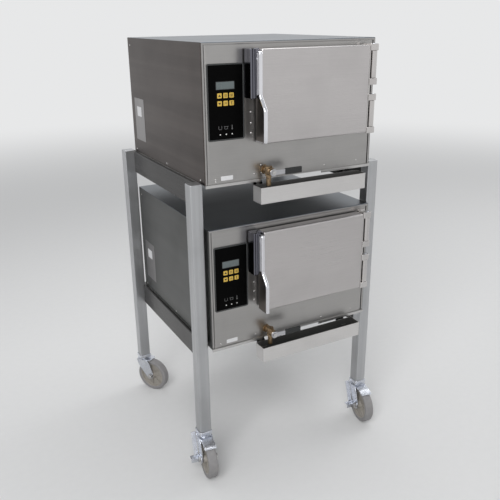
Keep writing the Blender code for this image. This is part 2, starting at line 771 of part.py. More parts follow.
def make_back_panel(name, cabinet):
    """The back sheet behind the casing's returns, with vent slots and a supply inlet."""
    half = CABINET_WIDTH / 2 - CASING_BEND - GAP
    back = CABINET_DEPTH - SHEET - GAP
    low = (-half, back - SHEET, GAP)
    high = (half, back, CABINET_HEIGHT - CASING_BEND - GAP)
    panel = from_bmesh(name, box_shape(low, high), cabinet, finish=STEEL)
    for index in range(VENT_COUNT):
        x = VENT_SIDE - VENT_PITCH * index
        low = (x - VENT_WIDTH / 2, back - SHEET - OVERRUN, VENT_FOOT)
        high = (x + VENT_WIDTH / 2, back + OVERRUN, VENT_FOOT + VENT_HEIGHT)
        slot = box_shape(low, high)
        cut(panel, from_bmesh(f"vent_{index}_of_{name}", slot, cabinet))
    inlet = cylinder_shape(
        "Y", (INLET_SIDE, 0.0, INLET_HEIGHT), back - SHEET - OVERRUN, back + OVERRUN, INLET_RADIUS)
    cut(panel, from_bmesh(f"inlet_of_{name}", inlet, cabinet))


def make_chamber(name, cabinet):
    """The cooking chamber: a deep-drawn box with a flange behind the panel and a drain."""
    low = Vector((CHAMBER_LEFT, CHAMBER_FRONT, CHAMBER_FLOOR))
    high = Vector((CHAMBER_RIGHT, CHAMBER_FRONT + CHAMBER_DEPTH, CHAMBER_CEILING))
    shape = box_shape(low, high)
    shape.normal_update()
    bmesh.ops.delete(shape, geom=faces_towards(shape, (0, -1, 0)), context="FACES_ONLY")
    folds = [edge for edge in shape.edges if len(edge.link_faces) == 2]
    round_edges(shape, folds, CHAMBER_BEND, 2)
    rim = [edge for edge in shape.edges if edge.is_boundary]
    middle = (low + high) / 2
    stretch_x = 1 + CHAMBER_FLANGE / (high.x - middle.x)
    stretch_z = 1 + CHAMBER_FLANGE / (high.z - middle.z)
    flange = bmesh.ops.extrude_edge_only(shape, edges=rim)["geom"]
    for vertex in (part for part in flange if isinstance(part, bmesh.types.BMVert)):
        vertex.co.x = middle.x + (vertex.co.x - middle.x) * stretch_x
        vertex.co.z = middle.z + (vertex.co.z - middle.z) * stretch_z
    chamber = from_bmesh(name, shape, cabinet, finish=STEEL, smooth_angle=math.radians(40))
    add_solidify(chamber, SHEET, 1.0)
    centre = (CHAMBER_LEFT + DRAIN_SIDE, CHAMBER_FRONT + DRAIN_BACK, 0.0)
    drain = cylinder_shape(
        "Z", centre, CHAMBER_FLOOR - OVERRUN, CHAMBER_FLOOR + OVERRUN, DRAIN_RADIUS)
    cut(chamber, from_bmesh(f"drain_of_{name}", drain, cabinet))


def make_pan_rack(name, cabinet):
    """A lift-out rack of round rod: two side ladders joined by cross rods on the floor."""
    left = CHAMBER_LEFT + RACK_SIDE_OFFSET
    right = CHAMBER_RIGHT - RACK_SIDE_OFFSET
    foot = CHAMBER_FLOOR + GAP + ROD_RADIUS
    front = CHAMBER_FRONT + RACK_FRONT
    back = CHAMBER_FRONT + RACK_BACK
    tip = foot + RUNNER_FIRST + RUNNER_PITCH * (RUNNER_COUNT - 1) + POST_ABOVE_RUNNER
    rods = []
    for y in (front, back):
        rods.append(("X", (0.0, y, foot), left, right))
        for x in (left, right):
            rods.append(("Z", (x, y, 0.0), foot, tip))
    for level in range(RUNNER_COUNT):
        z = foot + RUNNER_FIRST + RUNNER_PITCH * level
        for x in (left + RUNNER_OFFSET, right - RUNNER_OFFSET):
            rods.append(("Y", (x, 0.0, z), front - RUNNER_OVERHANG, back + RUNNER_OVERHANG))
    shapes = [cylinder_shape(*rod, ROD_RADIUS, ROD_SIDES) for rod in rods]
    rack = from_bmesh(name, shapes[0], cabinet, finish=STEEL, smooth_angle=math.radians(50))
    for index, shape in enumerate(shapes[1:]):
        join(rack, from_bmesh(f"rod_{index}_of_{name}", shape, cabinet))


def make_door_shell(name, cabinet):
    """The door's outer skin, a tray open behind with rounded front edges."""
    hinge = (HINGE_X, HINGE_Y, 0.0)
    shape = box_shape((DOOR_LEFT, -DOOR_FRONT, DOOR_BOTTOM), (DOOR_RIGHT, -DOOR_BACK, DOOR_TOP))
    shape.normal_update()
    bmesh.ops.delete(shape, geom=faces_towards(shape, (0, 1, 0)), context="FACES_ONLY")
    folds = [edge for edge in shape.edges if len(edge.link_faces) == 2]
    round_edges(shape, folds, DOOR_EDGE_RADIUS, 3)
    shell = from_bmesh(name, shape, cabinet, hinge, PANEL_STEEL, math.radians(40))
    add_solidify(shell, SHEET, -1.0)


def make_door_liner(name, cabinet):
    """The inner sheet that closes the shell, with a low plug that enters the chamber's mouth."""
    hinge = (HINGE_X, HINGE_Y, 0.0)
    inset = SHEET + GAP
    reach = CHAMBER_LEFT + LINER_PLUG_CLEARANCE - DOOR_LEFT
    rings = []
    for shrink, y in (
            (inset, -DOOR_BACK), (reach - LINER_SLOPE, -DOOR_BACK), (reach, LINER_PLUG - DOOR_BACK)):
        left, right = DOOR_LEFT + shrink, DOOR_RIGHT - shrink
        low, high = DOOR_BOTTOM + shrink, DOOR_TOP - shrink
        corners = [
            (left, low, DOOR_EDGE_RADIUS), (right, low, DOOR_EDGE_RADIUS),
            (right, high, DOOR_EDGE_RADIUS), (left, high, DOOR_EDGE_RADIUS)]
        rings.append([Vector((place.x, y, place.y)) for place in filleted(corners, 3)])
    shape = ring_surface(rings)
    liner = from_bmesh(name, shape, cabinet, hinge, STEEL, math.radians(40))
    add_solidify(liner, SHEET, 1.0)


def make_gasket(name, cabinet):
    """A round seal on a rounded rectangle just outside the chamber's mouth."""
    left = CHAMBER_LEFT - GASKET_MARGIN
    right = CHAMBER_RIGHT + GASKET_MARGIN
    bottom = CHAMBER_FLOOR - GASKET_MARGIN
    top = CHAMBER_CEILING + GASKET_MARGIN
    corners = [
        (left, bottom, GASKET_CORNER), (right, bottom, GASKET_CORNER),
        (right, top, GASKET_CORNER), (left, top, GASKET_CORNER)]
    y = -GAP - GASKET_RADIUS
    curve = bpy.data.curves.new(name, "CURVE")
    curve.dimensions = "3D"
    curve.bevel_depth = GASKET_RADIUS
    curve.bevel_resolution = 2
    route = filleted(corners, 4)
    spline = curve.splines.new("POLY")
    spline.points.add(len(route) - 1)
    for point, place in zip(spline.points, route):
        point.co = (place.x - HINGE_X, y - HINGE_Y, place.y, 1.0)
    spline.use_cyclic_u = True
    curve.materials.append(SEAL)
    seal = bpy.data.objects.new(name, curve)
    seal.location = (HINGE_X, HINGE_Y, 0.0)
    seal.parent = cabinet
    PARTS.objects.link(seal)


def hinge_units():
    """The foot of each of the two hinges, the lower and the upper."""
    span = HINGE_BARREL + 2 * HINGE_KNUCKLE + 2 * GAP
    return (DOOR_BOTTOM - HINGE_OVERHANG, DOOR_TOP + HINGE_OVERHANG - span)


def make_hinge_post(name, cabinet):
    """The fixed side: a plate on the front panel with two long barrels standing off it."""
    feet = hinge_units()
    low = (HINGE_X - HINGE_POST_WIDTH / 2, -GAP - HINGE_PLATE, feet[0])
    high = (HINGE_X + HINGE_POST_WIDTH / 2, -GAP, DOOR_TOP + HINGE_OVERHANG)
    shape = rounded_box(low, high, 1, HINGE_PLATE)
    post = from_bmesh(name, shape, cabinet, finish=STEEL, smooth_angle=math.radians(40))
    for index, foot in enumerate(feet):
        start = foot + HINGE_KNUCKLE + GAP
        end = start + HINGE_BARREL
        barrel = cylinder_shape(
            "Z", (HINGE_X, HINGE_Y, 0.0), start, end, HINGE_BARREL_RADIUS, ROUND_SIDES)
        join(post, from_bmesh(f"barrel_{index}_of_{name}", barrel, cabinet))
        low = (HINGE_X - HINGE_WEB / 2, HINGE_Y + HINGE_BARREL_RADIUS / 2, start + BITE)
        high = (HINGE_X + HINGE_WEB / 2, -GAP - BITE, end - BITE)
        join(post, from_bmesh(f"web_{index}_of_{name}", box_shape(low, high), cabinet))
        bore = cylinder_shape(
            "Z", (HINGE_X, HINGE_Y, 0.0), start - OVERRUN, end + OVERRUN,
            HINGE_PIN_RADIUS + HINGE_PIN_CLEARANCE)
        cut(post, from_bmesh(f"bore_{index}_of_{name}", bore, cabinet))


def make_hinge_strap(name, cabinet):
    """The door side: a strap on the door's edge with knuckles above and below each barrel."""
    hinge = (HINGE_X, HINGE_Y, 0.0)
    feet = hinge_units()
    inner = DOOR_RIGHT + GAP
    low = (inner, -DOOR_FRONT + STRAP_FRONT_MARGIN, feet[0])
    high = (inner + HINGE_PLATE, -DOOR_BACK - STRAP_BACK_MARGIN, DOOR_TOP + HINGE_OVERHANG)
    shape = box_shape(low, high)
    strap = from_bmesh(name, shape, cabinet, hinge, CHROME, math.radians(40))
    for index, foot in enumerate(feet):
        starts = (foot, foot + HINGE_KNUCKLE + HINGE_BARREL + 2 * GAP)
        for place, start in enumerate(starts):
            low = (inner + BITE, HINGE_Y - KNUCKLE_HALF, start)
            high = (HINGE_X + KNUCKLE_HALF, HINGE_Y + KNUCKLE_HALF, start + HINGE_KNUCKLE)
            block = rounded_box(low, high, 2, KNUCKLE_ROUND)
            join(strap, from_bmesh(f"knuckle_{index}{place}_of_{name}", block, cabinet))
        pin = cylinder_shape(
            "Z", (HINGE_X, HINGE_Y, 0.0), starts[0] + HINGE_KNUCKLE - BITE, starts[1] + BITE,
            HINGE_PIN_RADIUS)
        join(strap, from_bmesh(f"pin_{index}_of_{name}", pin, cabinet))


def housing_corners():
    """Plan of the latch housing in (x, y): a base against the door and a cheek in front."""
    right = DOOR_LEFT - GAP
    cheek = HOUSING_LEFT + HOUSING_CHEEK
    return [
        (HOUSING_LEFT, -HOUSING_BACK, HOUSING_INNER_ROUND),
        (HOUSING_LEFT, -HOUSING_FRONT, HOUSING_ROUND),
        (cheek, -HOUSING_FRONT, HOUSING_INNER_ROUND),
        (cheek, -HOUSING_BASE_FRONT, 0.0),
        (right, -HOUSING_BASE_FRONT, 0.0),
        (right, -HOUSING_BACK, 0.0),
    ]


def make_latch_housing(name, cabinet):
    """The cast latch body on the door's edge, grooved in front, with the handle's pin."""
    hinge = (HINGE_X, HINGE_Y, 0.0)
    top = DOOR_TOP + HOUSING_ABOVE_DOOR
    bottom = top - HOUSING_HEIGHT
    shape = profile_solid(name, housing_corners(), "Z", bottom, top, 4)
    housing = from_bmesh(name, shape, cabinet, hinge, CHROME, math.radians(40))
    add_bevel(housing, HOUSING_EDGE, 2)
    cheek = HOUSING_LEFT + HOUSING_CHEEK
    for index in range(GROOVE_COUNT):
        x = cheek - HOUSING_INNER_ROUND - GROOVE_WIDTH - GROOVE_PITCH * index
        low = (x - GROOVE_WIDTH / 2, -HOUSING_FRONT - OVERRUN, bottom - OVERRUN)
        high = (x + GROOVE_WIDTH / 2, -HOUSING_FRONT + GROOVE_DEPTH, top + OVERRUN)
        cut(housing, from_bmesh(f"groove_{index}_of_{name}", box_shape(low, high), cabinet))
    x, z = strike_centre()
    low = (
        x - STRIKE_BOSS_WIDTH / 2 - STRIKE_CLEARANCE, -HOUSING_BASE_FRONT + HOUSING_INNER_ROUND * 2,
        z - STRIKE_BOSS_HEIGHT / 2 - STRIKE_CLEARANCE)
    high = (
        x + STRIKE_BOSS_WIDTH / 2 + STRIKE_CLEARANCE, OVERRUN,
        z + STRIKE_BOSS_HEIGHT / 2 + STRIKE_CLEARANCE)
    cut(housing, from_bmesh(f"pocket_of_{name}", box_shape(low, high), cabinet))
    centre = (0.0, LATCH_PIN_Y, LATCH_PIN_Z)
    pin = cylinder_shape("X", centre, cheek - BITE, HANDLE_RIGHT + 2 * GAP, LATCH_PIN_RADIUS)
    join(housing, from_bmesh(f"pin_of_{name}", pin, cabinet))
    head = cylinder_shape(
        "X", centre, HANDLE_RIGHT + GAP, HANDLE_RIGHT + GAP + LATCH_PIN_HEAD, LATCH_PIN_HEAD_RADIUS)
    join(housing, from_bmesh(f"pin_head_of_{name}", head, cabinet))


def handle_corners(wall):
    """Side view of the pull handle in (y, z), drawn in by a wall on its front and top."""
    back = -HANDLE_BACK + (OVERRUN if wall else 0.0)
    slope = wall / 2
    return [
        (back, HANDLE_TOP - wall, 0.0),
        (-HANDLE_UPPER_FRONT + wall, HANDLE_TOP - wall, HANDLE_TOP_ROUND - wall),
        (-HANDLE_UPPER_FRONT + wall, HANDLE_KINK_TOP - slope, HANDLE_KINK_ROUND),
        (-HANDLE_LOWER_FRONT + wall, HANDLE_KINK_BOTTOM - slope, HANDLE_KINK_ROUND),
        (-HANDLE_LOWER_FRONT + wall, HANDLE_BOTTOM + wall, HANDLE_TOE_ROUND - wall),
        (back, HANDLE_BOTTOM + wall, 0.0),
    ]


def make_handle(name, cabinet):
    """A U-section pull handle, flared below, that swings out on the latch pin."""
    pivot = ((HANDLE_LEFT + HANDLE_RIGHT) / 2, LATCH_PIN_Y, LATCH_PIN_Z)
    shape = profile_solid(name, handle_corners(0.0), "X", HANDLE_LEFT, HANDLE_RIGHT, 4)
    handle = from_bmesh(name, shape, cabinet, pivot, CHROME, math.radians(40))
    hollow = profile_solid(
        "hollow", handle_corners(HANDLE_WALL), "X", HANDLE_LEFT + HANDLE_WALL,
        HANDLE_RIGHT - HANDLE_WALL, 4)
    cut(handle, from_bmesh(f"hollow_of_{name}", hollow, cabinet))
    eye = cylinder_shape(
        "X", (0.0, LATCH_PIN_Y, LATCH_PIN_Z), HANDLE_LEFT - OVERRUN, HANDLE_RIGHT + OVERRUN,
        LATCH_PIN_RADIUS + LATCH_PIN_CLEARANCE)
    cut(handle, from_bmesh(f"eye_of_{name}", eye, cabinet))


def strike_centre():
    x = HOUSING_LEFT + HOUSING_WIDTH / 2
    z = DOOR_TOP + HOUSING_ABOVE_DOOR - HOUSING_HEIGHT / 2
    return x, z


def make_strike(name, cabinet):
    """The catch on the front panel: a plate with a boss that enters the housing's pocket."""
    x, z = strike_centre()
    low = (x - STRIKE_WIDTH / 2, -GAP - STRIKE_PLATE, z - STRIKE_HEIGHT / 2)
    high = (x + STRIKE_WIDTH / 2, -GAP, z + STRIKE_HEIGHT / 2)
    shape = rounded_box(low, high, 1, STRIKE_PLATE)
    strike = from_bmesh(name, shape, cabinet, finish=ZINC, smooth_angle=math.radians(40))
    low = (x - STRIKE_BOSS_WIDTH / 2, -GAP - STRIKE_PLATE - STRIKE_BOSS_REACH, z - STRIKE_BOSS_HEIGHT / 2)
    high = (x + STRIKE_BOSS_WIDTH / 2, -GAP - STRIKE_PLATE / 2, z + STRIKE_BOSS_HEIGHT / 2)
    boss = rounded_box(low, high, 0, STRIKE_BOSS_ROUND)
    join(strike, from_bmesh(f"boss_of_{name}", boss, cabinet))


def make_control_panel(name, cabinet):
    """A rimmed black plate with a display window, six raised keys and three lamp holes."""
    right = CONTROL_LEFT + CONTROL_WIDTH
    top = CONTROL_BOTTOM + CONTROL_HEIGHT
    face = -GAP - CONTROL_THICKNESS
    field = face + CONTROL_RECESS
    low = (CONTROL_LEFT, face, CONTROL_BOTTOM)
    plate = rounded_box(low, (right, -GAP, top), 1, CONTROL_CORNER, 4)
    panel = from_bmesh(name, plate, cabinet, finish=BLACK, smooth_angle=math.radians(40))
    low = (CONTROL_LEFT + CONTROL_RIM, face - OVERRUN, CONTROL_BOTTOM + CONTROL_RIM)
    high = (right - CONTROL_RIM, field, top - CONTROL_RIM)
    recess = rounded_box(low, high, 1, CONTROL_CORNER - CONTROL_RIM / 2, 3)
    cut(panel, from_bmesh(f"recess_of_{name}", recess, cabinet))
    for row in range(2):
        for column in range(3):
            x = CONTROL_LEFT + KEY_FIRST_X + KEY_PITCH_X * column
            z = CONTROL_BOTTOM + KEY_FIRST_Z + KEY_PITCH_Z * row
            low = (x - KEY_SIZE / 2, field - KEY_RAISE, z - KEY_SIZE / 2)
            high = (x + KEY_SIZE / 2, field + BITE, z + KEY_SIZE / 2)
            key = rounded_box(low, high, 1, KEY_ROUND)
            join(panel, from_bmesh(f"key_{row}{column}_of_{name}", key, cabinet))
    low = (CONTROL_LEFT + WINDOW_LEFT, face - OVERRUN, CONTROL_BOTTOM + WINDOW_BOTTOM)
    high = (low[0] + WINDOW_WIDTH, field + WINDOW_DEPTH, low[2] + WINDOW_HEIGHT)
    cut(panel, from_bmesh(f"window_of_{name}", box_shape(low, high), cabinet))
    for column in range(3):
        x = CONTROL_LEFT + KEY_FIRST_X + KEY_PITCH_X * column
        lamp = cylinder_shape(
            "Y", (x, 0.0, CONTROL_BOTTOM + LAMP_HEIGHT), face - OVERRUN, field + WINDOW_DEPTH,
            LAMP_RADIUS, ROD_SIDES)
        cut(panel, from_bmesh(f"lamp_{column}_of_{name}", lamp, cabinet))


def make_drain_valve(name, cabinet):
    """A brass ball valve: pipe from the panel, upright body, boss in front, outlet below."""
    x, y, z = VALVE_X, VALVE_Y, VALVE_Z
    half = VALVE_BODY_LENGTH / 2
    body = cylinder_shape("Z", (x, y, 0.0), z - half, z + half, VALVE_BODY_RADIUS, ROUND_SIDES)
    valve = from_bmesh(name, body, cabinet, (x, y, z), BRASS, math.radians(40))
    forms = {
        "top_nut": cylinder_shape(
            "Z", (x, y, 0.0), z + half - VALVE_HEX_LENGTH / 2, z + half + VALVE_HEX_LENGTH / 2,
            VALVE_HEX_RADIUS, HEX_SIDES),
        "foot_nut": cylinder_shape(
            "Z", (x, y, 0.0), z - half - VALVE_HEX_LENGTH / 2, z - half + VALVE_HEX_LENGTH / 2,
            VALVE_HEX_RADIUS, HEX_SIDES),
        "boss": cylinder_shape("Y", (x, 0.0, z), -VALVE_BOSS_FRONT, y, VALVE_BOSS_RADIUS, ROUND_SIDES),
        "stem": cylinder_shape(
            "Y", (x, 0.0, z), LEVER_CENTRE_Y + LEVER_PLATE / 2 + GAP, -VALVE_BOSS_FRONT + BITE,
            VALVE_STEM_RADIUS),
        "pipe": cylinder_shape("Y", (x, 0.0, z), y, SHEET + GAP, VALVE_PIPE_RADIUS),
        "collar": cylinder_shape(
            "Y", (x, 0.0, z), -GAP - VALVE_COLLAR, -GAP, VALVE_COLLAR_RADIUS, HEX_SIDES),
        "outlet": cylinder_shape("Z", (x, y, 0.0), OUTLET_FOOT, z - half, VALVE_PIPE_RADIUS),
    }
    for form, shape in forms.items():
        join(valve, from_bmesh(f"{form}_of_{name}", shape, cabinet))
    bore = cylinder_shape(
        "Z", (x, y, 0.0), OUTLET_FOOT - OVERRUN, z - half, VALVE_PIPE_RADIUS - 2 * SHEET)
    cut(valve, from_bmesh(f"bore_of_{name}", bore, cabinet))


def make_valve_lever(name, cabinet):
    """The lever on the valve's stem: a steel blade with its nut and a dipped grip."""
    x, y, z = VALVE_X, LEVER_CENTRE_Y, VALVE_Z
    near, far = y - LEVER_PLATE / 2, y + LEVER_PLATE / 2
    hub = cylinder_shape("Y", (x, 0.0, z), near, far, LEVER_HUB_RADIUS, ROUND_SIDES)
    lever = from_bmesh(name, hub, cabinet, (x, y, z), STEEL, math.radians(40))
    half = LEVER_BAR_HEIGHT / 2
    low = (x, near, z - half)
    high = (x + GRIP_START + 2 * GRIP_ROUND, far, z + half)
    join(lever, from_bmesh(f"bar_of_{name}", box_shape(low, high), cabinet))
    nut = cylinder_shape("Y", (x, 0.0, z), near - LEVER_NUT, near + BITE, LEVER_NUT_RADIUS, HEX_SIDES)
    join(lever, from_bmesh(f"nut_of_{name}", nut, cabinet))
    low = (x + GRIP_START, y - GRIP_THICKNESS / 2, z - GRIP_HEIGHT / 2)
    high = (x + GRIP_START + GRIP_LENGTH, y + GRIP_THICKNESS / 2, z + GRIP_HEIGHT / 2)
    grip = rounded_box(low, high, 0, GRIP_ROUND)
    join(lever, from_bmesh(f"grip_of_{name}", grip, cabinet))


def hanger_corners():
    """Side view in (y, z) of a strap from the trough's back wall up to the base pan."""
    low = TROUGH_TOP - HANGER_DROP
    top = -BASE_THICKNESS - GAP
    front = -GAP - BITE
    back = front + HANGER_RUN
    thick = HANGER_SHEET
    return [
        (front, low, 0.0),
        (back, low, thick),
        (back, top - thick, thick / 2),
        (back + HANGER_FLANGE, top - thick, 0.0),
        (back + HANGER_FLANGE, top, 0.0),
        (back - thick, top, thick),
        (back - thick, low + thick, thick / 2),
        (front, low + thick, 0.0),
    ]


def make_trough(name, cabinet):
    """An open-topped drip trough under the valve, on two straps below the cabinet."""
    low = (TROUGH_LEFT, -GAP - TROUGH_DEPTH, TROUGH_TOP - TROUGH_HEIGHT)
    high = (TROUGH_LEFT + TROUGH_LENGTH, -GAP, TROUGH_TOP)
    shape = box_shape(low, high)
    shape.normal_update()
    bmesh.ops.delete(shape, geom=faces_towards(shape, (0, 0, 1)), context="FACES_ONLY")
    folds = [edge for edge in shape.edges if len(edge.link_faces) == 2]
    round_edges(shape, folds, TROUGH_BEND, 2)
    trough = from_bmesh(name, shape, cabinet, finish=PANEL_STEEL, smooth_angle=math.radians(40))
    add_solidify(trough, SHEET, -1.0)
    ends = (TROUGH_LEFT + HANGER_END_OFFSET, TROUGH_LEFT + TROUGH_LENGTH - HANGER_END_OFFSET)
    for index, x in enumerate(ends):
        strap = profile_solid(
            "strap", hanger_corners(), "X", x - HANGER_WIDTH / 2, x + HANGER_WIDTH / 2, 2)
        join(trough, from_bmesh(f"strap_{index}_of_{name}", strap, cabinet))


def make_steamer(tier, shelf, forward):
    """One whole steamer standing on a shelf height."""
    place = (0.0, -forward - FOOTPRINT_MIDDLE, shelf + BASE_THICKNESS + GAP)
    cabinet = empty(f"{tier}_steamer", place)
    make_casing(f"{tier}_casing", cabinet)
    make_front_panel(f"{tier}_front_panel", cabinet)
    make_base_pan(f"{tier}_base_pan", cabinet)
    make_back_panel(f"{tier}_back_panel", cabinet)
    make_chamber(f"{tier}_cooking_chamber", cabinet)
    make_pan_rack(f"{tier}_pan_rack", cabinet)
    make_door_shell(f"{tier}_door_shell", cabinet)
    make_door_liner(f"{tier}_door_liner", cabinet)
    make_gasket(f"{tier}_door_gasket", cabinet)
    make_hinge_post(f"{tier}_hinge_post", cabinet)
    make_hinge_strap(f"{tier}_hinge_strap", cabinet)
    make_latch_housing(f"{tier}_latch_housing", cabinet)
    make_handle(f"{tier}_door_handle", cabinet)
    make_strike(f"{tier}_latch_strike", cabinet)
    make_control_panel(f"{tier}_control_panel", cabinet)
    make_drain_valve(f"{tier}_drain_valve", cabinet)
    make_valve_lever(f"{tier}_valve_lever", cabinet)
    make_trough(f"{tier}_drip_trough", cabinet)


def make_stand():
    """Legs, rails and casters."""
    stand = empty("stand", (0.0, -FOOTPRINT_MIDDLE, 0.0))
    for corner, (x, y, heading) in LEG_PLACES.items():
        make_leg(f"leg_{corner}", stand, x, y)
        make_caster_socket(f"caster_socket_{corner}", stand, x, y)
        swivel = empty(f"swivel_{corner}", (x, y, 0.0), heading, stand)
        make_fork(f"caster_fork_{corner}", swivel)
        make_wheel(f"caster_wheel_{corner}", swivel)
        if corner.startswith("front"):
            make_brake_pedal(f"brake_pedal_{corner}", swivel)
    for tier, shelf in (("upper", UPPER_SHELF), ("lower", LOWER_SHELF)):
        make_side_rail(f"{tier}_rail_left", stand, shelf, -1)
        make_side_rail(f"{tier}_rail_right", stand, shelf, 1)
        make_cross_rail(f"{tier}_rail_back", stand, shelf)


make_stand()
make_steamer("upper", UPPER_SHELF, 0.0)
make_steamer("lower", LOWER_SHELF, LOWER_FORWARD)
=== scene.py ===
"""Looks for two electric steamers, one above the other, on a stand with swivel casters.

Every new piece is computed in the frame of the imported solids, in metres: X right, Y back, Z up.
A steamer's own (x, y, z) start at the middle of its front sheet's foot, and a caster's at the
floor under its swivel axis, with -y the way its wheel trails.
"""

import json
import math

import bmesh
import bpy
import numpy as np
from mathutils import Matrix, Vector


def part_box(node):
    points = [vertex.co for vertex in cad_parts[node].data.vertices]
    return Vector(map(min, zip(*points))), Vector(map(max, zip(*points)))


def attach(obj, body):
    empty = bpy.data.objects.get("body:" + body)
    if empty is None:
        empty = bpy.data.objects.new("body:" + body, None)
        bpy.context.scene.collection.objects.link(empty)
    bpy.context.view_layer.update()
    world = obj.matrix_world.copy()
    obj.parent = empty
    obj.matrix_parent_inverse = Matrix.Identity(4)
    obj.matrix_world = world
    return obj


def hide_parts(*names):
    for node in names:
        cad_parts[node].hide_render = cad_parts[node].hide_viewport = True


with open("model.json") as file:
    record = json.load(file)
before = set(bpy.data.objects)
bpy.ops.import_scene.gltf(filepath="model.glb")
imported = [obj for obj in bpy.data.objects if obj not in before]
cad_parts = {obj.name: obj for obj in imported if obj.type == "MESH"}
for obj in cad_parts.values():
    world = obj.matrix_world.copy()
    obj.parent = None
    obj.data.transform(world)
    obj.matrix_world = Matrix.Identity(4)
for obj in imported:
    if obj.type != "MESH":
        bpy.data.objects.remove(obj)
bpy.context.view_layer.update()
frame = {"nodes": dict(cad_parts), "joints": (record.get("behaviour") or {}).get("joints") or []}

TINY = 0.0001
FINE_EDGE, EDGE, SOFT_EDGE = 0.0004, 0.0006, 0.0008
TIERS = ("upper", "lower")
CORNERS = ("front_left", "front_right", "back_left", "back_right")
ROOT = "stand_and_cabinets"
HINGE = {joint["name"]: joint for joint in frame["joints"]}

# Camera, from a fit to the corners of both cabinets
CAMERA_PLACE = (-0.9876, -1.8537, 1.3943)
CAMERA_YAW = math.radians(28.4148)
CAMERA_PITCH = math.radians(-20.2825)
CAMERA_ROLL = math.radians(-0.611)
CAMERA_LENS = 45.40
SENSOR = 36.0


# Points and meshes
def ring(low, high, radius, inset=0.0, steps=5):
    """A rectangle with round corners, anticlockwise in (u, v). Each corner is its centre plus
    radius * (cos a, sin a) while a runs through that corner's quarter turn."""
    low, high = np.asarray(low) + inset, np.asarray(high) - inset
    r = max(radius - inset, TINY)
    angle = np.radians(np.arange(4)[:, None] * 90 + np.linspace(0, 90, steps + 1))
    sides = np.array([[high[0] - r, high[1] - r], [low[0] + r, high[1] - r],
                      [low[0] + r, low[1] + r], [high[0] - r, low[1] + r]])
    return (sides[:, None] + r * np.stack([np.cos(angle), np.sin(angle)], -1)).reshape(-1, 2)


def fillet(corners, radii, steps=5):
    """A polygon's corners rounded to tangent arcs: each arc's centre lies on the corner's
    bisector, and its points turn evenly from one tangent point to the other."""
    c = np.asarray(corners, float)
    r = np.maximum(np.broadcast_to(np.asarray(radii, float), len(c)), TINY)[:, None]
    a, b = np.roll(c, 1, 0) - c, np.roll(c, -1, 0) - c
    a, b = (v / np.linalg.norm(v, axis=1, keepdims=True) for v in (a, b))
    half = np.arccos(np.clip((a * b).sum(1, keepdims=True), -1, 1)) / 2
    middle = (a + b) / np.linalg.norm(a + b, axis=1, keepdims=True)
    centre = c + middle * r / np.sin(half)
    start, end = (c + v * r / np.tan(half) - centre for v in (a, b))
    turn = math.pi - 2 * half[:, :, None]
    t = np.linspace(0, 1, steps + 1)[None, :, None]
    arc = (np.sin((1 - t) * turn) * start[:, None] + np.sin(t * turn) * end[:, None]) / np.sin(turn)
    return (centre[:, None] + arc).reshape(-1, 2)


def quads(rows, columns, closed=True, joined=False):
    """Faces of a grid of points held row by row; closed joins the last column to the first,
    and joined the last row to the first."""
    i = np.arange(rows if joined else rows - 1)
    j = np.arange(columns if closed else columns - 1)
    i, j = (v.ravel() for v in np.meshgrid(i, j, indexing="ij"))
    k, l = (i + 1) % rows, (j + 1) % columns
    return np.stack([i * columns + j, i * columns + l, k * columns + l, k * columns + j], 1).tolist()


def loft(rings, caps=(True, True), closed=True, joined=False):
    """Skins a stack of rings of equal count and closes its two ends with flat faces."""
    points = np.stack(rings)
    rows, columns = points.shape[:2]
    faces = quads(rows, columns, closed, joined)
    if caps[0]:
        faces.append(list(range(columns))[::-1])
    if caps[1]:
        faces.append([(rows - 1) * columns + j for j in range(columns)])
    return points.reshape(-1, 3), faces


AXES = {"X": ((0, 1, 0), (0, 0, 1), (1, 0, 0)), "Y": ((0, 0, 1), (1, 0, 0), (0, 1, 0)),
        "Z": ((1, 0, 0), (0, 1, 0), (0, 0, 1)), "-Y": ((1, 0, 0), (0, 0, 1), (0, -1, 0))}


def lift(flat, height, axis="Z", origin=(0, 0, 0)):
    """Carries (u, v) points to a height w along an axis: u*U + v*V + w*W."""
    u, v, w = (np.array(part, float) for part in AXES[axis])
    flat = np.asarray(flat)
    return np.array(origin) + flat[:, :1] * u + flat[:, 1:2] * v + height * w


def plate(low, high, radius, heights, edge, axis="Z", both=True):
    """A flat slab: its round-cornered ring rises from the first height to the second, and each
    end rolls in by the edge radius along a quarter circle. both=False leaves the first sharp."""
    bottom, top = heights
    turn = np.linspace(0, math.pi / 2, 5)
    inset, rise = edge * (1 - np.cos(turn)), edge * np.sin(turn)
    rings = []
    if both:
        rings += [lift(ring(low, high, radius, d), bottom + edge - h, axis)
                  for d, h in zip(inset[::-1], rise[::-1])]
    else:
        rings.append(lift(ring(low, high, radius), bottom, axis))
    rings += [lift(ring(low, high, radius, d), top - edge + h, axis) for d, h in zip(inset, rise)]
    return loft(rings)


def pad(u, v, size, radius, heights, edge, axis="-Y", both=True):
    """A plate about the point (u, v), with a width and a height."""
    middle, half = np.array((u, v)), np.asarray(size) / 2
    return plate(middle - half, middle + half, radius, heights, edge, axis, both=both)


def turned(profile, axis="Z", origin=(0, 0, 0), steps=40, caps=(True, True), joined=False, phase=0.0):
    """A profile of (radius, along) turned about an axis: r * (cos a, sin a) at height along."""
    a = np.linspace(0, math.tau, steps, endpoint=False) + phase
    circle = np.stack([np.cos(a), np.sin(a)], -1)
    return loft([lift(r * circle, h, axis, origin) for r, h in profile], caps, True, joined)


CHAMFER_SHARE, NUT_CHAMFER_SHARE = 0.08, 0.12


def rod(radius, start, end, axis="Z", origin=(0, 0, 0), chamfer=0.0, steps=32):
    """A cylinder with both edges broken by a chamfer."""
    c = chamfer or radius * CHAMFER_SHARE
    return turned([(radius - c, start), (radius, start + c), (radius, end - c), (radius - c, end)],
                  axis, origin, steps)


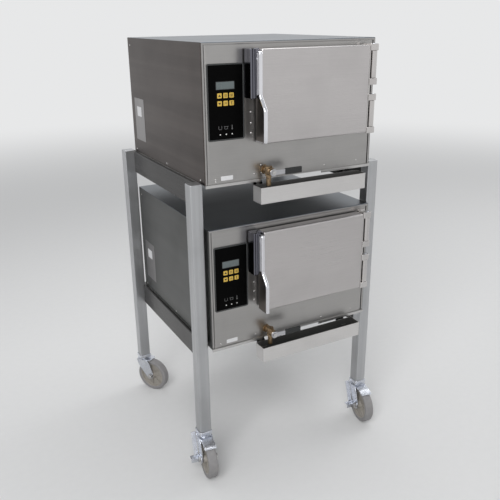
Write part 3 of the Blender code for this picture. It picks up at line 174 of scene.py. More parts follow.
def hexagon(radius, start, end, axis="Z", origin=(0, 0, 0), phase=0.0):
    """A nut: a six-sided prism whose corners are turned down at both ends."""
    c = radius * NUT_CHAMFER_SHARE
    return turned([(radius - c, start), (radius, start + c / 2), (radius, end - c / 2),
                   (radius - c, end)], axis, origin, 6, phase=phase)


def swept(path, radius, sides=14, closed=False):
    """A tube: circles of one radius stand square to the path. Each frame's first side is the
    reference direction with its part along the path taken away."""
    path = np.asarray(path, float)
    if closed:
        along = np.roll(path, -1, 0) - np.roll(path, 1, 0)
    else:
        along = np.gradient(path, axis=0)
    along /= np.linalg.norm(along, axis=1, keepdims=True)
    reference = np.eye(3)[np.argmin(np.abs(along).max(0))]
    side = reference - along * (along @ reference)[:, None]
    side /= np.linalg.norm(side, axis=1, keepdims=True)
    other = np.cross(along, side)
    a = np.linspace(0, math.tau, sides, endpoint=False)
    rings = [p + radius * (np.cos(a)[:, None] * s + np.sin(a)[:, None] * o)
             for p, s, o in zip(path, side, other)]
    return loft(rings, (not closed, not closed), True, closed)


def prism(outline, start, end, axis, edge=0.0):
    """An outline carried straight along an axis, its two ends drawn in by a small edge towards
    the outline's middle line, point by point along the corner bisectors."""
    outline = np.asarray(outline, float)
    a, b = np.roll(outline, 1, 0) - outline, np.roll(outline, -1, 0) - outline
    normal = np.stack([b[:, 1] - a[:, 1], a[:, 0] - b[:, 0]], 1)
    normal /= np.maximum(np.linalg.norm(normal, axis=1, keepdims=True), 1e-9)
    following = np.roll(outline, -1, 0)
    area = (outline[:, 0] * following[:, 1] - following[:, 0] * outline[:, 1]).sum()
    normal *= math.copysign(1, area)
    turn = np.linspace(0, math.pi / 2, 4)
    steps = list(zip(edge * (1 - np.sin(turn)), edge * (1 - np.cos(turn)))) if edge else [(0, 0)]
    low = [lift(outline - normal * d, start + h, axis) for d, h in steps]
    high = [lift(outline - normal * d, end - h, axis) for d, h in steps[::-1]]
    return loft(low + high)


def moved(part, matrix):
    """Carries one (points, faces) part by a 4 x 4 matrix."""
    points, faces = part
    m = np.array(matrix)
    return points @ m[:3, :3].T + m[:3, 3], faces


def mirrored(part, axis):
    """The same part on the other side of zero along axis 0, 1 or 2. Its faces turn inside out,
    and piece() sets them right."""
    points, faces = part
    return points * np.where(np.arange(3) == axis, -1, 1), faces


def piece(name, parts, body, slot, replaced=(), wall=0.0, smooth=35, fix=True):
    """One object from (part, finish) pairs. Closed parts get outward normals, and an open
    shell gets a wall with Solidify, on the side away from its faces' normals. Large faces keep
    their own direction at the small bends beside them."""
    mesh = bpy.data.meshes.new(name)
    finishes, points, faces, marks, base = [], [], [], [], 0
    for (part_points, part_faces), finish in parts:
        if finish not in finishes:
            finishes.append(finish)
        points.append(part_points)
        faces += [[corner + base for corner in face] for face in part_faces]
        marks += [finishes.index(finish)] * len(part_faces)
        base += len(part_points)
    mesh.from_pydata(np.concatenate(points).tolist(), [], faces)
    for finish in finishes:
        mesh.materials.append(finish)
    mesh.polygons.foreach_set("material_index", marks)
    work = bmesh.new()
    work.from_mesh(mesh)
    bmesh.ops.remove_doubles(work, verts=work.verts, dist=TINY / 20)
    if fix:
        bmesh.ops.recalc_face_normals(work, faces=work.faces)
    work.to_mesh(mesh)
    work.free()
    mesh.shade_smooth()
    mesh.set_sharp_from_angle(angle=math.radians(smooth))
    made = bpy.data.objects.new(name, mesh)
    bpy.context.scene.collection.objects.link(made)
    if wall:
        shell = made.modifiers.new("sheet", "SOLIDIFY")
        shell.thickness = wall
        shell.offset = -1.0
        shell.use_even_offset = True
    even = made.modifiers.new("flat_faces", "WEIGHTED_NORMAL")
    even.keep_sharp = True
    even.weight = 100
    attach(made, body)
    if replaced:
        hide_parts(*([replaced] if isinstance(replaced, str) else replaced))
    return made


# Finishes
def add(tree, kind, values=None, **settings):
    """Adds a shader node, sets its settings, and links or sets each named input."""
    made = tree.nodes.new(kind)
    for name, value in settings.items():
        setattr(made, name, value)
    for name, value in (values or {}).items():
        if isinstance(value, bpy.types.NodeSocket):
            tree.links.new(value, made.inputs[name])
        else:
            made.inputs[name].default_value = value
    return made


def maths(tree, operation, first, second=0.5, third=0.5, clamp=False):
    """One sum of up to three values."""
    return add(tree, "ShaderNodeMath", {0: first, 1: second, 2: third}, operation=operation,
               use_clamp=clamp).outputs[0]


def blend_colours(tree, share, first, second, way="MIX"):
    """The first colour, changed by a share of the second."""
    made = add(tree, "ShaderNodeMix", {0: share, 6: first, 7: second}, data_type="RGBA", blend_type=way)
    return made.outputs[2]


def group(name, inputs, outputs):
    """An empty shader group with its sockets: (name, kind, default) in and (name, kind) out."""
    tree = bpy.data.node_groups.new(name, "ShaderNodeTree")
    for label, kind, value in inputs:
        socket = tree.interface.new_socket(label, in_out="INPUT", socket_type=f"NodeSocket{kind}")
        if value is not None:
            socket.default_value = value
    for label, kind in outputs:
        tree.interface.new_socket(label, in_out="OUTPUT", socket_type=f"NodeSocket{kind}")
    return tree, tree.nodes.new("NodeGroupInput").outputs, tree.nodes.new("NodeGroupOutput").inputs


SURFACE_OUT = [("Colour", "Color"), ("Roughness", "Float"), ("Normal", "Vector")]


def brushed_grain():
    """Rolled sheet: fine brush lines and broad streaks, both drawn out along the brushing, over
    cloudy handling marks. They tint the colour and stir the roughness; the lines have relief."""
    tree, given, out = group("brushed_grain", [
        ("Place", "Vector", None), ("Line Scale", "Vector", (1, 1, 1)),
        ("Streak Scale", "Vector", (1, 1, 1)), ("Colour", "Color", None),
        ("Streak Colour", "Color", None), ("Streak", "Float", 0.3), ("Cloud", "Float", 0.2),
        ("Roughness", "Float", 0.3), ("Spread", "Float", 0.1), ("Depth", "Float", 0.1)], SURFACE_OUT)

    def noise(scale, size, detail):
        place = add(tree, "ShaderNodeVectorMath", {0: given["Place"], 1: scale}, operation="MULTIPLY")
        return add(tree, "ShaderNodeTexNoise", {"Vector": place.outputs[0], "Scale": size,
                                                "Detail": detail}).outputs["Fac"]

    line = noise(given["Line Scale"], 1.0, 2.0)
    streak = noise(given["Streak Scale"], 1.0, 5.0)
    cloud = noise((1, 1, 1), 7.0, 4.0)
    mask = add(tree, "ShaderNodeMapRange", {0: streak, 1: 0.38, 2: 0.66}).outputs[0]
    share = maths(tree, "MULTIPLY", mask, given["Streak"])
    tint = blend_colours(tree, share, given["Colour"], given["Streak Colour"])
    dull = add(tree, "ShaderNodeMapRange", {0: cloud, 1: 0.45, 2: 0.75}).outputs[0]
    tint = blend_colours(tree, maths(tree, "MULTIPLY", dull, given["Cloud"]), tint, (0.0, 0.0, 0.0, 1))
    fleck = maths(tree, "MULTIPLY_ADD", line, 0.24, 0.88)
    out_colour = blend_colours(tree, 1.0, tint, fleck, "MULTIPLY")
    tree.links.new(out_colour, out["Colour"])
    stir = maths(tree, "ADD", maths(tree, "SUBTRACT", line, 0.5), maths(tree, "MULTIPLY", cloud, 0.5))
    rough = maths(tree, "MULTIPLY_ADD", stir, given["Spread"], given["Roughness"], True)
    tree.links.new(rough, out["Roughness"])
    relief = add(tree, "ShaderNodeBump", {"Height": line, "Strength": given["Depth"],
                                          "Distance": 0.0002})
    tree.links.new(relief.outputs[0], out["Normal"])
    return tree


def worn_grain():
    """Cast, moulded or rubber surface: an even fine grain, and spots of a second colour where a
    broad noise rises above a threshold."""
    tree, given, out = group("worn_grain", [
        ("Place", "Vector", None), ("Grain Size", "Float", 900.0), ("Spot Size", "Float", 60.0),
        ("Colour", "Color", None), ("Spot Colour", "Color", None), ("Spots", "Float", 0.3),
        ("Roughness", "Float", 0.5), ("Spread", "Float", 0.2), ("Depth", "Float", 0.3)], SURFACE_OUT)
    fine = add(tree, "ShaderNodeTexNoise", {"Vector": given["Place"], "Scale": given["Grain Size"],
                                            "Detail": 3.0}).outputs["Fac"]
    spot = add(tree, "ShaderNodeTexNoise", {"Vector": given["Place"], "Scale": given["Spot Size"],
                                            "Detail": 5.0}).outputs["Fac"]
    mask = add(tree, "ShaderNodeMapRange", {0: spot, 1: 0.46, 2: 0.68}).outputs[0]
    tint = blend_colours(tree, maths(tree, "MULTIPLY", mask, given["Spots"]), given["Colour"],
                         given["Spot Colour"])
    tint = blend_colours(tree, 1.0, tint, maths(tree, "MULTIPLY_ADD", fine, 0.3, 0.85), "MULTIPLY")
    tree.links.new(tint, out["Colour"])
    stir = maths(tree, "SUBTRACT", maths(tree, "ADD", fine, mask), 0.5)
    tree.links.new(maths(tree, "MULTIPLY_ADD", stir, given["Spread"], given["Roughness"], True),
                   out["Roughness"])
    relief = add(tree, "ShaderNodeBump", {"Height": fine, "Strength": given["Depth"],
                                          "Distance": 0.0003})
    tree.links.new(relief.outputs[0], out["Normal"])
    return tree


BRUSHED, WORN = brushed_grain(), worn_grain()


def start_finish(name, metallic, shine):
    """A new material with its Principled shader; shine sets sockets that don't vary."""
    made = bpy.data.materials.new(name)
    made.use_nodes = True
    tree = made.node_tree
    shader = tree.nodes["Principled BSDF"]
    shader.inputs["Metallic"].default_value = metallic
    for socket, value in shine.items():
        shader.inputs[socket].default_value = value
    place = tree.nodes.new("ShaderNodeTexCoord").outputs["Object"]
    return made, tree, shader, place


def wire(tree, made, shader):
    """Joins a grain group's colour, roughness and normal to the shader."""
    for source, target in (("Colour", "Base Color"), ("Roughness", "Roughness"), ("Normal", "Normal")):
        tree.links.new(made.outputs[source], shader.inputs[target])


FINE_LINES = (9.0, 2400.0)


def sheet_metal(name, colour, streak_colour, along, roughness=0.3, streak=0.4, cloud=0.12,
                spread=0.12, depth=0.12, lines=(9.0, 1100.0), streaks=(0.9, 26.0), metallic=1.0,
                **shine):
    """Brushed or rolled metal whose lines run along axis 0, 1 or 2. Lines and streaks are each
    (scale along, scale across)."""
    made, tree, shader, place = start_finish(name, metallic, shine)
    line_scale, streak_scale = ([pair[0] if axis == along else pair[1] for axis in range(3)]
                                for pair in (lines, streaks))
    grain = add(tree, "ShaderNodeGroup", None, node_tree=BRUSHED)
    for label, value in (("Line Scale", line_scale), ("Streak Scale", streak_scale),
                         ("Colour", (*colour, 1)), ("Streak Colour", (*streak_colour, 1)),
                         ("Streak", streak), ("Cloud", cloud), ("Roughness", roughness),
                         ("Spread", spread), ("Depth", depth)):
        grain.inputs[label].default_value = value
    tree.links.new(place, grain.inputs["Place"])
    wire(tree, grain, shader)
    return made


def worn(name, colour, spot_colour, roughness, metallic=0.0, grain=900.0, spot=60.0, spots=0.3,
         spread=0.2, depth=0.3, **shine):
    """Cast metal, plastic, rubber or print."""
    made, tree, shader, place = start_finish(name, metallic, shine)
    skin = add(tree, "ShaderNodeGroup", None, node_tree=WORN)
    for label, value in (("Grain Size", grain), ("Spot Size", spot), ("Colour", (*colour, 1)),
                         ("Spot Colour", (*spot_colour, 1)), ("Spots", spots),
                         ("Roughness", roughness), ("Spread", spread), ("Depth", depth)):
        skin.inputs[label].default_value = value
    tree.links.new(place, skin.inputs["Place"])
    wire(tree, skin, shader)
    return made


FRONT = sheet_metal("front_sheet", (0.43, 0.42, 0.41), (0.37, 0.36, 0.35), 0, 0.30, streak=0.3,
                    cloud=0.10, depth=0.05, lines=(9.0, 2600.0), streaks=(0.8, 9.0))
DOOR = sheet_metal("door_sheet", (0.58, 0.555, 0.55), (0.52, 0.505, 0.495), 0, 0.27, streak=0.25,
                   cloud=0.08, depth=0.04, lines=(7.0, 2800.0), streaks=(0.6, 7.0))
# Painted shade: each wrap's sides are a much darker copy of the front sheet's steel, darkest on the upper
# steamer.
SHADED_SIDE = {"upper": sheet_metal("upper_side_painted_shade", (0.108, 0.093, 0.087), (0.070, 0.060, 0.056), 1,
                             0.36, streak=0.7, depth=0.06, lines=FINE_LINES, streaks=(0.7, 30.0)),
        "lower": sheet_metal("lower_side_painted_shade", (0.140, 0.142, 0.138), (0.095, 0.096, 0.094), 1,
                             0.36, streak=0.7, depth=0.06, lines=FINE_LINES, streaks=(0.8, 10.0))}
# Painted shade: the wraps' tops are a darker blue-grey copy of the same steel.
SHADED_TOP = sheet_metal("top_painted_shade", (0.185, 0.20, 0.22), (0.15, 0.163, 0.18), 0, 0.30, streak=0.4,
                  depth=0.05, lines=FINE_LINES)
INNER = sheet_metal("chamber_sheet", (0.42, 0.42, 0.42), (0.34, 0.33, 0.32), 1, 0.34, cloud=0.25)
LIP = sheet_metal("lip_sheet", (0.62, 0.61, 0.60), (0.54, 0.53, 0.52), 0, 0.30)
BACK = sheet_metal("back_sheet", (0.38, 0.37, 0.36), (0.30, 0.29, 0.28), 0, 0.36)
TROUGH = sheet_metal("trough_sheet", (0.70, 0.685, 0.675), (0.63, 0.615, 0.605), 0, 0.40, streak=0.3,
                     cloud=0.08, depth=0.05, lines=FINE_LINES)
# Painted shade: the tray's inner wall is a darker copy of the trough's steel.
TROUGH_SHADE = sheet_metal("trough_inside_painted_shade", (0.27, 0.265, 0.26), (0.20, 0.195, 0.19), 0, 0.45)
LEG = sheet_metal("leg_tube", (0.54, 0.545, 0.555), (0.42, 0.425, 0.435), 2, 0.34, streak=0.6,
                  depth=0.05, lines=FINE_LINES, streaks=(0.9, 60.0))
# Painted shade: the stand's angle rails are the legs' steel, much darkened, and the back rail a little
# less.
SHADED_RAIL = sheet_metal("rail_angle_painted_shade", (0.085, 0.082, 0.080), (0.055, 0.053, 0.052), 1, 0.26)
SHADED_BACK_RAIL = sheet_metal("back_rail_painted_shade", (0.13, 0.128, 0.126), (0.09, 0.088, 0.086), 0, 0.30)
CHROME = sheet_metal("handle_chrome", (0.80, 0.80, 0.83), (0.70, 0.70, 0.74), 2, 0.07, spread=0.06,
                     streak=0.3, depth=0.03)
# Painted reflection: the latch body's chrome is dark, with dark vertical stripes, standing in for dark
# surroundings reflected in it.
HOUSING_REFLECTION = sheet_metal("housing_painted_reflection", (0.20, 0.20, 0.23), (0.09, 0.09, 0.11), 2, 0.10,
                      spread=0.08, streak=0.8, streaks=(1.5, 170.0), depth=0.04)
# Painted highlight and shade on the handle's flanks: above the flare, a pale satin copy of the chrome
# stands in for the rolled edge's highlight; below it, a dark brown copy is painted shade.
HIGHLIGHT_FLANK = sheet_metal("upper_flank_painted_highlight", (0.80, 0.80, 0.83), (0.70, 0.70, 0.74), 2, 0.35,
                          depth=0.03, metallic=0.25)
SHADED_FLANK = sheet_metal("lower_flank_painted_shade", (0.24, 0.215, 0.20), (0.15, 0.135, 0.125), 2, 0.30, depth=0.05)
HINGE_STEEL = sheet_metal("hinge_chrome", (0.66, 0.64, 0.63), (0.50, 0.47, 0.45), 2, 0.14, depth=0.05)
ZINC = worn("zinc_plate", (0.72, 0.74, 0.79), (0.50, 0.52, 0.58), 0.22, 1.0, 700, 60, 0.4, 0.15, 0.04)
SCREW = worn("screw_steel", (0.60, 0.59, 0.58), (0.45, 0.44, 0.43), 0.25, 1.0, 900, 300, 0.5, 0.2, 0.1)
BRASS = worn("valve_brass", (0.33, 0.235, 0.14), (0.12, 0.085, 0.06), 0.36, 1.0, 700, 140, 0.8, 0.3, 0.2)
LEVER = sheet_metal("lever_steel", (0.52, 0.52, 0.54), (0.40, 0.40, 0.42), 0, 0.28)
GRIP = worn("grip_vinyl", (0.012, 0.013, 0.013), (0.022, 0.023, 0.023), 0.50, 0, 500, 80, 0.5, 0.2, 0.2)
TYRE = worn("grey_tyre", (0.27, 0.262, 0.265), (0.34, 0.33, 0.325), 0.60, 0, 900, 60, 0.5, 0.2, 0.4)
HUB = worn("hub_polymer", (0.36, 0.335, 0.30), (0.24, 0.22, 0.19), 0.48, 0, 700, 70, 0.5, 0.2, 0.2)
SILICONE = worn("gasket_silicone", (0.020, 0.020, 0.021), (0.05, 0.05, 0.05), 0.55, 0, 700, 50, 0.4)
BEZEL = worn("bezel_plastic", (0.035, 0.037, 0.037), (0.055, 0.055, 0.055), 0.36, 0, 1500, 90, 0.3)
FILM = worn("black_film", (0.001, 0.001, 0.001), (0.002, 0.002, 0.002), 0.34, 0, 2500, 60, 0.4,
            0.15, 0.05, **{"Specular IOR Level": 0.04})
GOLD = worn("key_print", (0.66, 0.44, 0.075), (0.56, 0.35, 0.05), 0.42, 0, 1800, 300, 0.4, 0.1, 0.1)
INK = worn("dark_print", (0.012, 0.010, 0.008), (0.03, 0.025, 0.02), 0.45, 0, 1800, 300, 0.3)
GREY_INK = worn("grey_print", (0.14, 0.14, 0.14), (0.10, 0.10, 0.10), 0.45, 0, 1800, 300, 0.3)
WINDOW = worn("display_window", (0.125, 0.150, 0.152), (0.10, 0.12, 0.122), 0.22, 0, 2500, 40, 0.5,
              0.1, 0.05)
LENS = worn("lamp_lens", (0.75, 0.75, 0.73), (0.6, 0.6, 0.58), 0.20, 0, 1500, 300, 0.3, 0.1, 0.05)
LABEL = worn("white_label", (0.72, 0.72, 0.73), (0.62, 0.62, 0.63), 0.45, 0, 1500, 120, 0.3, 0.1, 0.1)
FOIL = sheet_metal("data_plate_foil", (0.30, 0.29, 0.29), (0.25, 0.24, 0.24), 2, 0.30)


# Placing
class Steamer:
    """One steamer's own frame: its zero is the foot of the front sheet, half way across."""

    def __init__(self, tier):
        low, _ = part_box(f"{tier}_casing")
        self.tier = tier
        self.zero = (0.0, low.y, low.z)
        self.door = f"{tier}_door"

    def name(self, words):
        return f"{self.tier}_{words}"

    def dress(self, words, parts, body, slot, node="", **shell):
        """Makes a piece of parts drawn in the steamer's own frame, in place of a CAD node."""
        placed = [((points + np.array(self.zero), faces), finish) for (points, faces), finish in parts]
        return piece(self.name(words), placed, body, slot, self.name(node) if node else (), **shell)


def caster_matrix(corner):
    """The caster's own frame: its swivel axis, turned so that -y is the trail."""
    roll, swivel = HINGE[f"roll_{corner}"], HINGE[f"swivel_{corner}"]
    x, y, _ = swivel["pos_m"]
    heading = math.atan2(roll["axis"][1], roll["axis"][0])
    return Matrix.Translation((x, y, 0)) @ Matrix.Rotation(heading, 4, "Z")


# Casing and sheets
CABINET_WIDTH, CABINET_DEPTH, CABINET_HEIGHT = 0.5715, 0.588, 0.379
SHEET = 0.0012
BEND = 0.0024
RETURN = 0.0075
ARCH_STEPS = 6
OPEN_SHELL = {"smooth": 30, "fix": False}


def arch(inset):
    """The casing's section in (x, z): up the left side, over the top and down the right, its two
    upper corners round, all drawn in by an inset."""
    half = CABINET_WIDTH / 2
    full = ring((-half, -half), (half, CABINET_HEIGHT), BEND + TINY, inset, ARCH_STEPS)
    upper = full[:2 * (ARCH_STEPS + 1)]
    right = np.array([[half - inset, 0.0]])
    return np.concatenate([right, upper, -right * [1, 0]])


def make_casing(unit):
    """Top and sides: the section runs back from a narrow front return, round a bend, along the
    depth and round again to the back return. The front return takes the front sheet's finish, while
    the sides and the top take darker copies of the same steel, painted shade; side and top meet
    half way round the corner."""
    turn = np.linspace(0, math.pi / 2, 5)
    away, along = BEND * (1 - np.sin(turn)), BEND * (1 - np.cos(turn))
    inset = [RETURN, *away, *along, RETURN]
    depth = [0, *along, *(CABINET_DEPTH - away), CABINET_DEPTH]
    rings = []
    for d, y in zip(inset, depth):
        section = arch(d)[::-1]
        rings.append(np.stack([section[:, 0], np.full(len(section), y), section[:, 1]], 1))
    points, faces = loft(rings, (False, False), closed=False)
    columns = len(rings[0])
    corner = 1 + ARCH_STEPS // 2
    lip, top, sides = [], [], []
    for face in faces:
        if face[0] < columns:
            lip.append(face)
        elif corner <= face[0] % columns < columns - 1 - corner:
            top.append(face)
        else:
            sides.append(face)
    # Sides and top take the painted-shade copies of the steel; the front return takes the front sheet's
    # finish.
    unit.dress("wrap", [((points, lip), FRONT), ((points, sides), SHADED_SIDE[unit.tier]), ((points, top), SHADED_TOP)],
               ROOT, "brushed_steel", "casing", wall=SHEET, **OPEN_SHELL)


def make_door(unit):
    """The door's skin: a flat front whose edges roll back through a quarter circle."""
    low, high = (-0.1255, 0.1065), (0.238, 0.3595)
    front, back, radius = 0.040, 0.0084, 0.0045
    rings = [lift(ring(low, high, radius + TINY, radius * (1 - math.cos(a))),
                  front - radius * (1 - math.sin(a)), "-Y") for a in np.linspace(math.pi / 2, 0, 7)]
    rings.append(lift(ring(low, high, radius + TINY), back, "-Y"))
    unit.dress("door_skin", [(loft(rings[::-1], (False, True)), DOOR)], unit.door, "front_steel",
               "door_shell", wall=SHEET, **OPEN_SHELL)


def make_gasket(unit):
    """The seal: a round section carried round a rectangle with round corners."""
    low, high, corner = (-0.1195, 0.117), (0.232, 0.349), 0.012
    seat, radius, sides = 0.0042, 0.0038, 16
    path = lift(ring(low, high, corner, steps=8), seat, "-Y")
    unit.dress("door_seal", [(swept(path, radius, sides, True), SILICONE)], unit.door,
               "black_silicone", "door_gasket")


def make_trough(unit):
    """The drip trough: a tray folded from one sheet, bent up all round, on two straps. A strap
    steps from the base pan down and in under the tray."""
    low, high = (-0.134, -0.0483), (0.236, -0.0003)
    top, foot, radius = -0.0165, -0.0645, 0.0012
    rings = [lift(ring(low, high, radius + TINY, radius * (1 - math.sin(a))),
                  foot + radius * (1 - math.cos(a))) for a in np.linspace(0, math.pi / 2, 5)]
    rings.append(lift(ring(low, high, radius + TINY), top))
    tray = unit.dress("trough_tray", [(loft(rings, (True, False)), TROUGH)], ROOT, "front_steel",
                      "drip_trough", wall=SHEET, **OPEN_SHELL)
    # The inner shell takes the painted-shade copy of the steel.
    tray.data.materials.append(TROUGH_SHADE)
    tray.modifiers["sheet"].material_offset = 1
    strap, drop, rise, end, edge = 0.0016, -0.0385, 0.0289, 0.0489, -0.0018
    bend, half = 0.0025, 0.010
    line = [(-strap, drop), (rise, drop), (rise, edge - strap), (end, edge - strap), (end, edge),
            (rise - strap, edge), (rise - strap, drop + strap - TINY), (-strap, drop + strap - TINY)]
    outline = fillet(line, [0, bend, bend - 0.0015, 0, 0, bend, bend - 0.0015, 0], 4)
    straps = [(prism(outline, x - half, x + half, "X", TINY * 2), TROUGH) for x in (-0.104, 0.206)]
    unit.dress("trough_straps", straps, ROOT, "front_steel")


# Door furniture
BARREL, KNUCKLE, GAP = 0.0775, 0.019, 0.0003


def make_hinge(unit):
    """Two hinges in line: long barrels on the cabinet's plate, square knuckles on the door's."""
    x, y, strap_edge = 0.2575, -0.030, 0.2391
    plate_half, barrel_radius, web_half, knuckle_half, pin_radius = 0.013, 0.010, 0.004, 0.0105, 0.0055
    low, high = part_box(unit.name("hinge_post"))
    foot, head = low.z - unit.zero[2], high.z - unit.zero[2]
    pitch = BARREL + KNUCKLE + 2 * GAP
    post = [(plate((x - plate_half, foot), (x + plate_half, head), 0.003, (GAP, 0.0033), EDGE, "-Y"),
             HINGE_STEEL)]
    strap = [(plate((0.2383, -0.0375), (0.2413, -0.0104), EDGE, (foot, head), FINE_EDGE), HINGE_STEEL)]
    for bottom in (foot, head - pitch - KNUCKLE):
        start = bottom + KNUCKLE + GAP
        end = start + BARREL
        post.append((rod(barrel_radius, start, end, "Z", (x, y, 0), SOFT_EDGE), HINGE_STEEL))
        post.append((plate((x - web_half, -0.025), (x + web_half, -0.0015), EDGE,
                           (start + SOFT_EDGE, end - SOFT_EDGE), FINE_EDGE), HINGE_STEEL))
        for level in (bottom, bottom + pitch):
            strap.append((plate((strap_edge, y - knuckle_half), (x + knuckle_half, y + knuckle_half),
                                0.0035, (level, level + KNUCKLE), 0.0012), HINGE_STEEL))
            strap.append((rod(pin_radius, level - EDGE, level + KNUCKLE + EDGE, "Z", (x, y, 0), EDGE),
                          ZINC))
    unit.dress("hinge_barrels", post, ROOT, "brushed_steel", "hinge_post")
    unit.dress("hinge_knuckles", strap, unit.door, "chrome", "hinge_strap")


def make_housing(unit):
    """The latch's cast body: a plan outline with two grooves in its front, carried up and
    softened at both ends, with the handle's pin and its head."""
    left, right, back, front, cheek, step = -0.161, -0.1258, -0.0055, -0.0425, -0.143, -0.0265
    foot, head, softened = 0.232, 0.361, 0.0016
    groove_width, groove_depth = 0.0036, 0.0034
    plan = [(left, back), (left, front)]
    for x in (-0.1573, -0.1503):
        plan += [(x, front), (x, front + groove_depth), (x + groove_width, front + groove_depth),
                 (x + groove_width, front)]
    plan += [(cheek, front), (cheek, step), (right, step), (right, back)]
    outline = fillet(plan, [0.002, 0.004] + [EDGE] * 8 + [0.0022, SOFT_EDGE, EDGE, EDGE], 4)
    # The body takes the dark chrome whose stripes are painted reflection.
    parts = [(prism(outline, foot, head, "Z", softened), HOUSING_REFLECTION)]
    screw = [(0.0042, 0.0), (0.0042, 0.0010), (0.0030, 0.0016), (0.0010, 0.0018)]
    screw_x, screw_in = -0.134, 0.020
    for z in (foot + screw_in, head - screw_in):
        parts.append((turned(screw, "-Y", (screw_x, step + GAP, z), 28), SCREW))
    pin, pin_radius, cap_radius, outside = (0, -0.037, 0.335), 0.003, 0.0045, -0.1282
    cap = [(cap_radius, outside), (cap_radius, outside + 0.0010), (cap_radius - 0.0010, outside + 0.0016)]
    parts.append((rod(pin_radius, cheek - SOFT_EDGE, outside + GAP, "X", pin), CHROME))
    parts.append((turned(cap, "X", pin, 28), CHROME))
    unit.dress("latch_body", parts, unit.door, "chrome", "latch_housing")


HANDLE_BACK, HANDLE_TOP, HANDLE_TOE = -0.0315, 0.3545, 0.1138
HANDLE_UPPER, HANDLE_LOWER = -0.0520, -0.0790
HANDLE_MIDDLE, HANDLE_HALF, HANDLE_ROLL, HANDLE_SHEET = -0.1345, 0.006, 0.0042, 0.0018
TOP_BACK_STEP = 0.0045
TOP_RADIUS, FLARE_RADIUS, TOE_RADIUS = 0.008, 0.026, 0.005
FLARE_TOP, FLARE_FOOT = 0.2378, 0.2045
LINE_STEPS = 9


def handle_path(inset):
    """The handle's side line in (y, z), open at the back: top wall, front, the double bend where
    it flares, and the toe, all drawn in by an inset."""
    upper, lower = HANDLE_UPPER + inset, HANDLE_LOWER + inset
    line = [(HANDLE_BACK - TOP_BACK_STEP, HANDLE_TOP - inset), (upper, HANDLE_TOP - inset),
            (upper, FLARE_TOP - inset / 2), (lower, FLARE_FOOT - inset / 2),
            (lower, HANDLE_TOE + inset), (HANDLE_BACK, HANDLE_TOE + inset)]
    radii = np.array([0, TOP_RADIUS, FLARE_RADIUS, FLARE_RADIUS, TOE_RADIUS, 0])
    return fillet(line, np.maximum(radii - inset, TINY), LINE_STEPS)


def make_handle(unit):
    """The pull handle: its side line is carried across its width, and rolls in at both flanks
    through a quarter circle; the open shell then gets a wall. Each flank is cut where the
    handle flares: above, a pale satin copy of the chrome is a painted highlight, and below, a dark
    brown copy is painted shade."""
    turn = np.linspace(0, math.pi / 2, 7)
    away, along = HANDLE_ROLL * (1 - np.sin(turn)), HANDLE_ROLL * (1 - np.cos(turn))
    rings = []
    for d, x in zip([*away, *along], [*(along - HANDLE_HALF), *(HANDLE_HALF - away)]):
        line = handle_path(d)
        rings.append(np.stack([np.full(len(line), HANDLE_MIDDLE + x), line[:, 0], line[:, 1]], 1))
    points, skin = loft(rings, (False, False), closed=False)
    count = len(rings[0])
    cut = 2 * (LINE_STEPS + 1)
    last = len(points) - count
    ends = [(ring_end[0, 0], HANDLE_BACK, FLARE_TOP) for ring_end in (rings[0], rings[-1])]
    left_end, right_end = len(points), len(points) + 1
    points = np.concatenate([points, ends])
    upper = [[left_end, *range(cut, -1, -1)], [*range(last, last + cut + 1), right_end]]
    lower = [[*range(count - 1, cut - 1, -1), left_end], [right_end, *range(last + cut, last + count)]]
    # Upper flanks take the painted-highlight copy, and lower flanks the painted-shade copy.
    unit.dress("pull_handle", [((points, skin), CHROME), ((points, upper), HIGHLIGHT_FLANK),
                               ((points, lower), SHADED_FLANK)], f"{unit.tier}_handle", "chrome",
               "door_handle", wall=HANDLE_SHEET, **OPEN_SHELL)


def make_strike(unit):
    """The catch: a plate on the front sheet, a rounded boss and two screws."""
    x, z, corner, face, screw_step = -0.1434, 0.2965, 0.003, 0.0028, 0.035
    parts = [(pad(x, z, (0.022, 0.090), corner, (GAP, face), 0.0005), ZINC),
             (pad(x, z, (0.010, 0.040), corner, (0.002, 0.0118), 0.0015, both=False), ZINC)]
    parts += [(screw_head((x, -face, z + way * screw_step), 0.0035), SCREW) for way in (-1, 1)]
    unit.dress("strike_plate", parts, ROOT, "zinc", "latch_strike")


def screw_head(place, radius, axis="-Y"):
    """A domed head: circles whose radius falls as a quarter ellipse, with a small flat on top."""
    rim, dome = 0.12, 0.42
    turn = np.linspace(0, 1.3, 6)
    profile = [(radius, 0.0)] + [(radius * math.cos(t), radius * (rim + dome * math.sin(t))) for t in turn]
    return turned(profile, axis, place, 24)


# Control panel
KEY_SIZE, KEY_PITCH, KEY_ROW_PITCH = 0.0134, 0.0181, 0.0206
KEY_TOP, PRINT = 0.0031, 0.0004
LAMP_SIGN_TOP = 0.0026


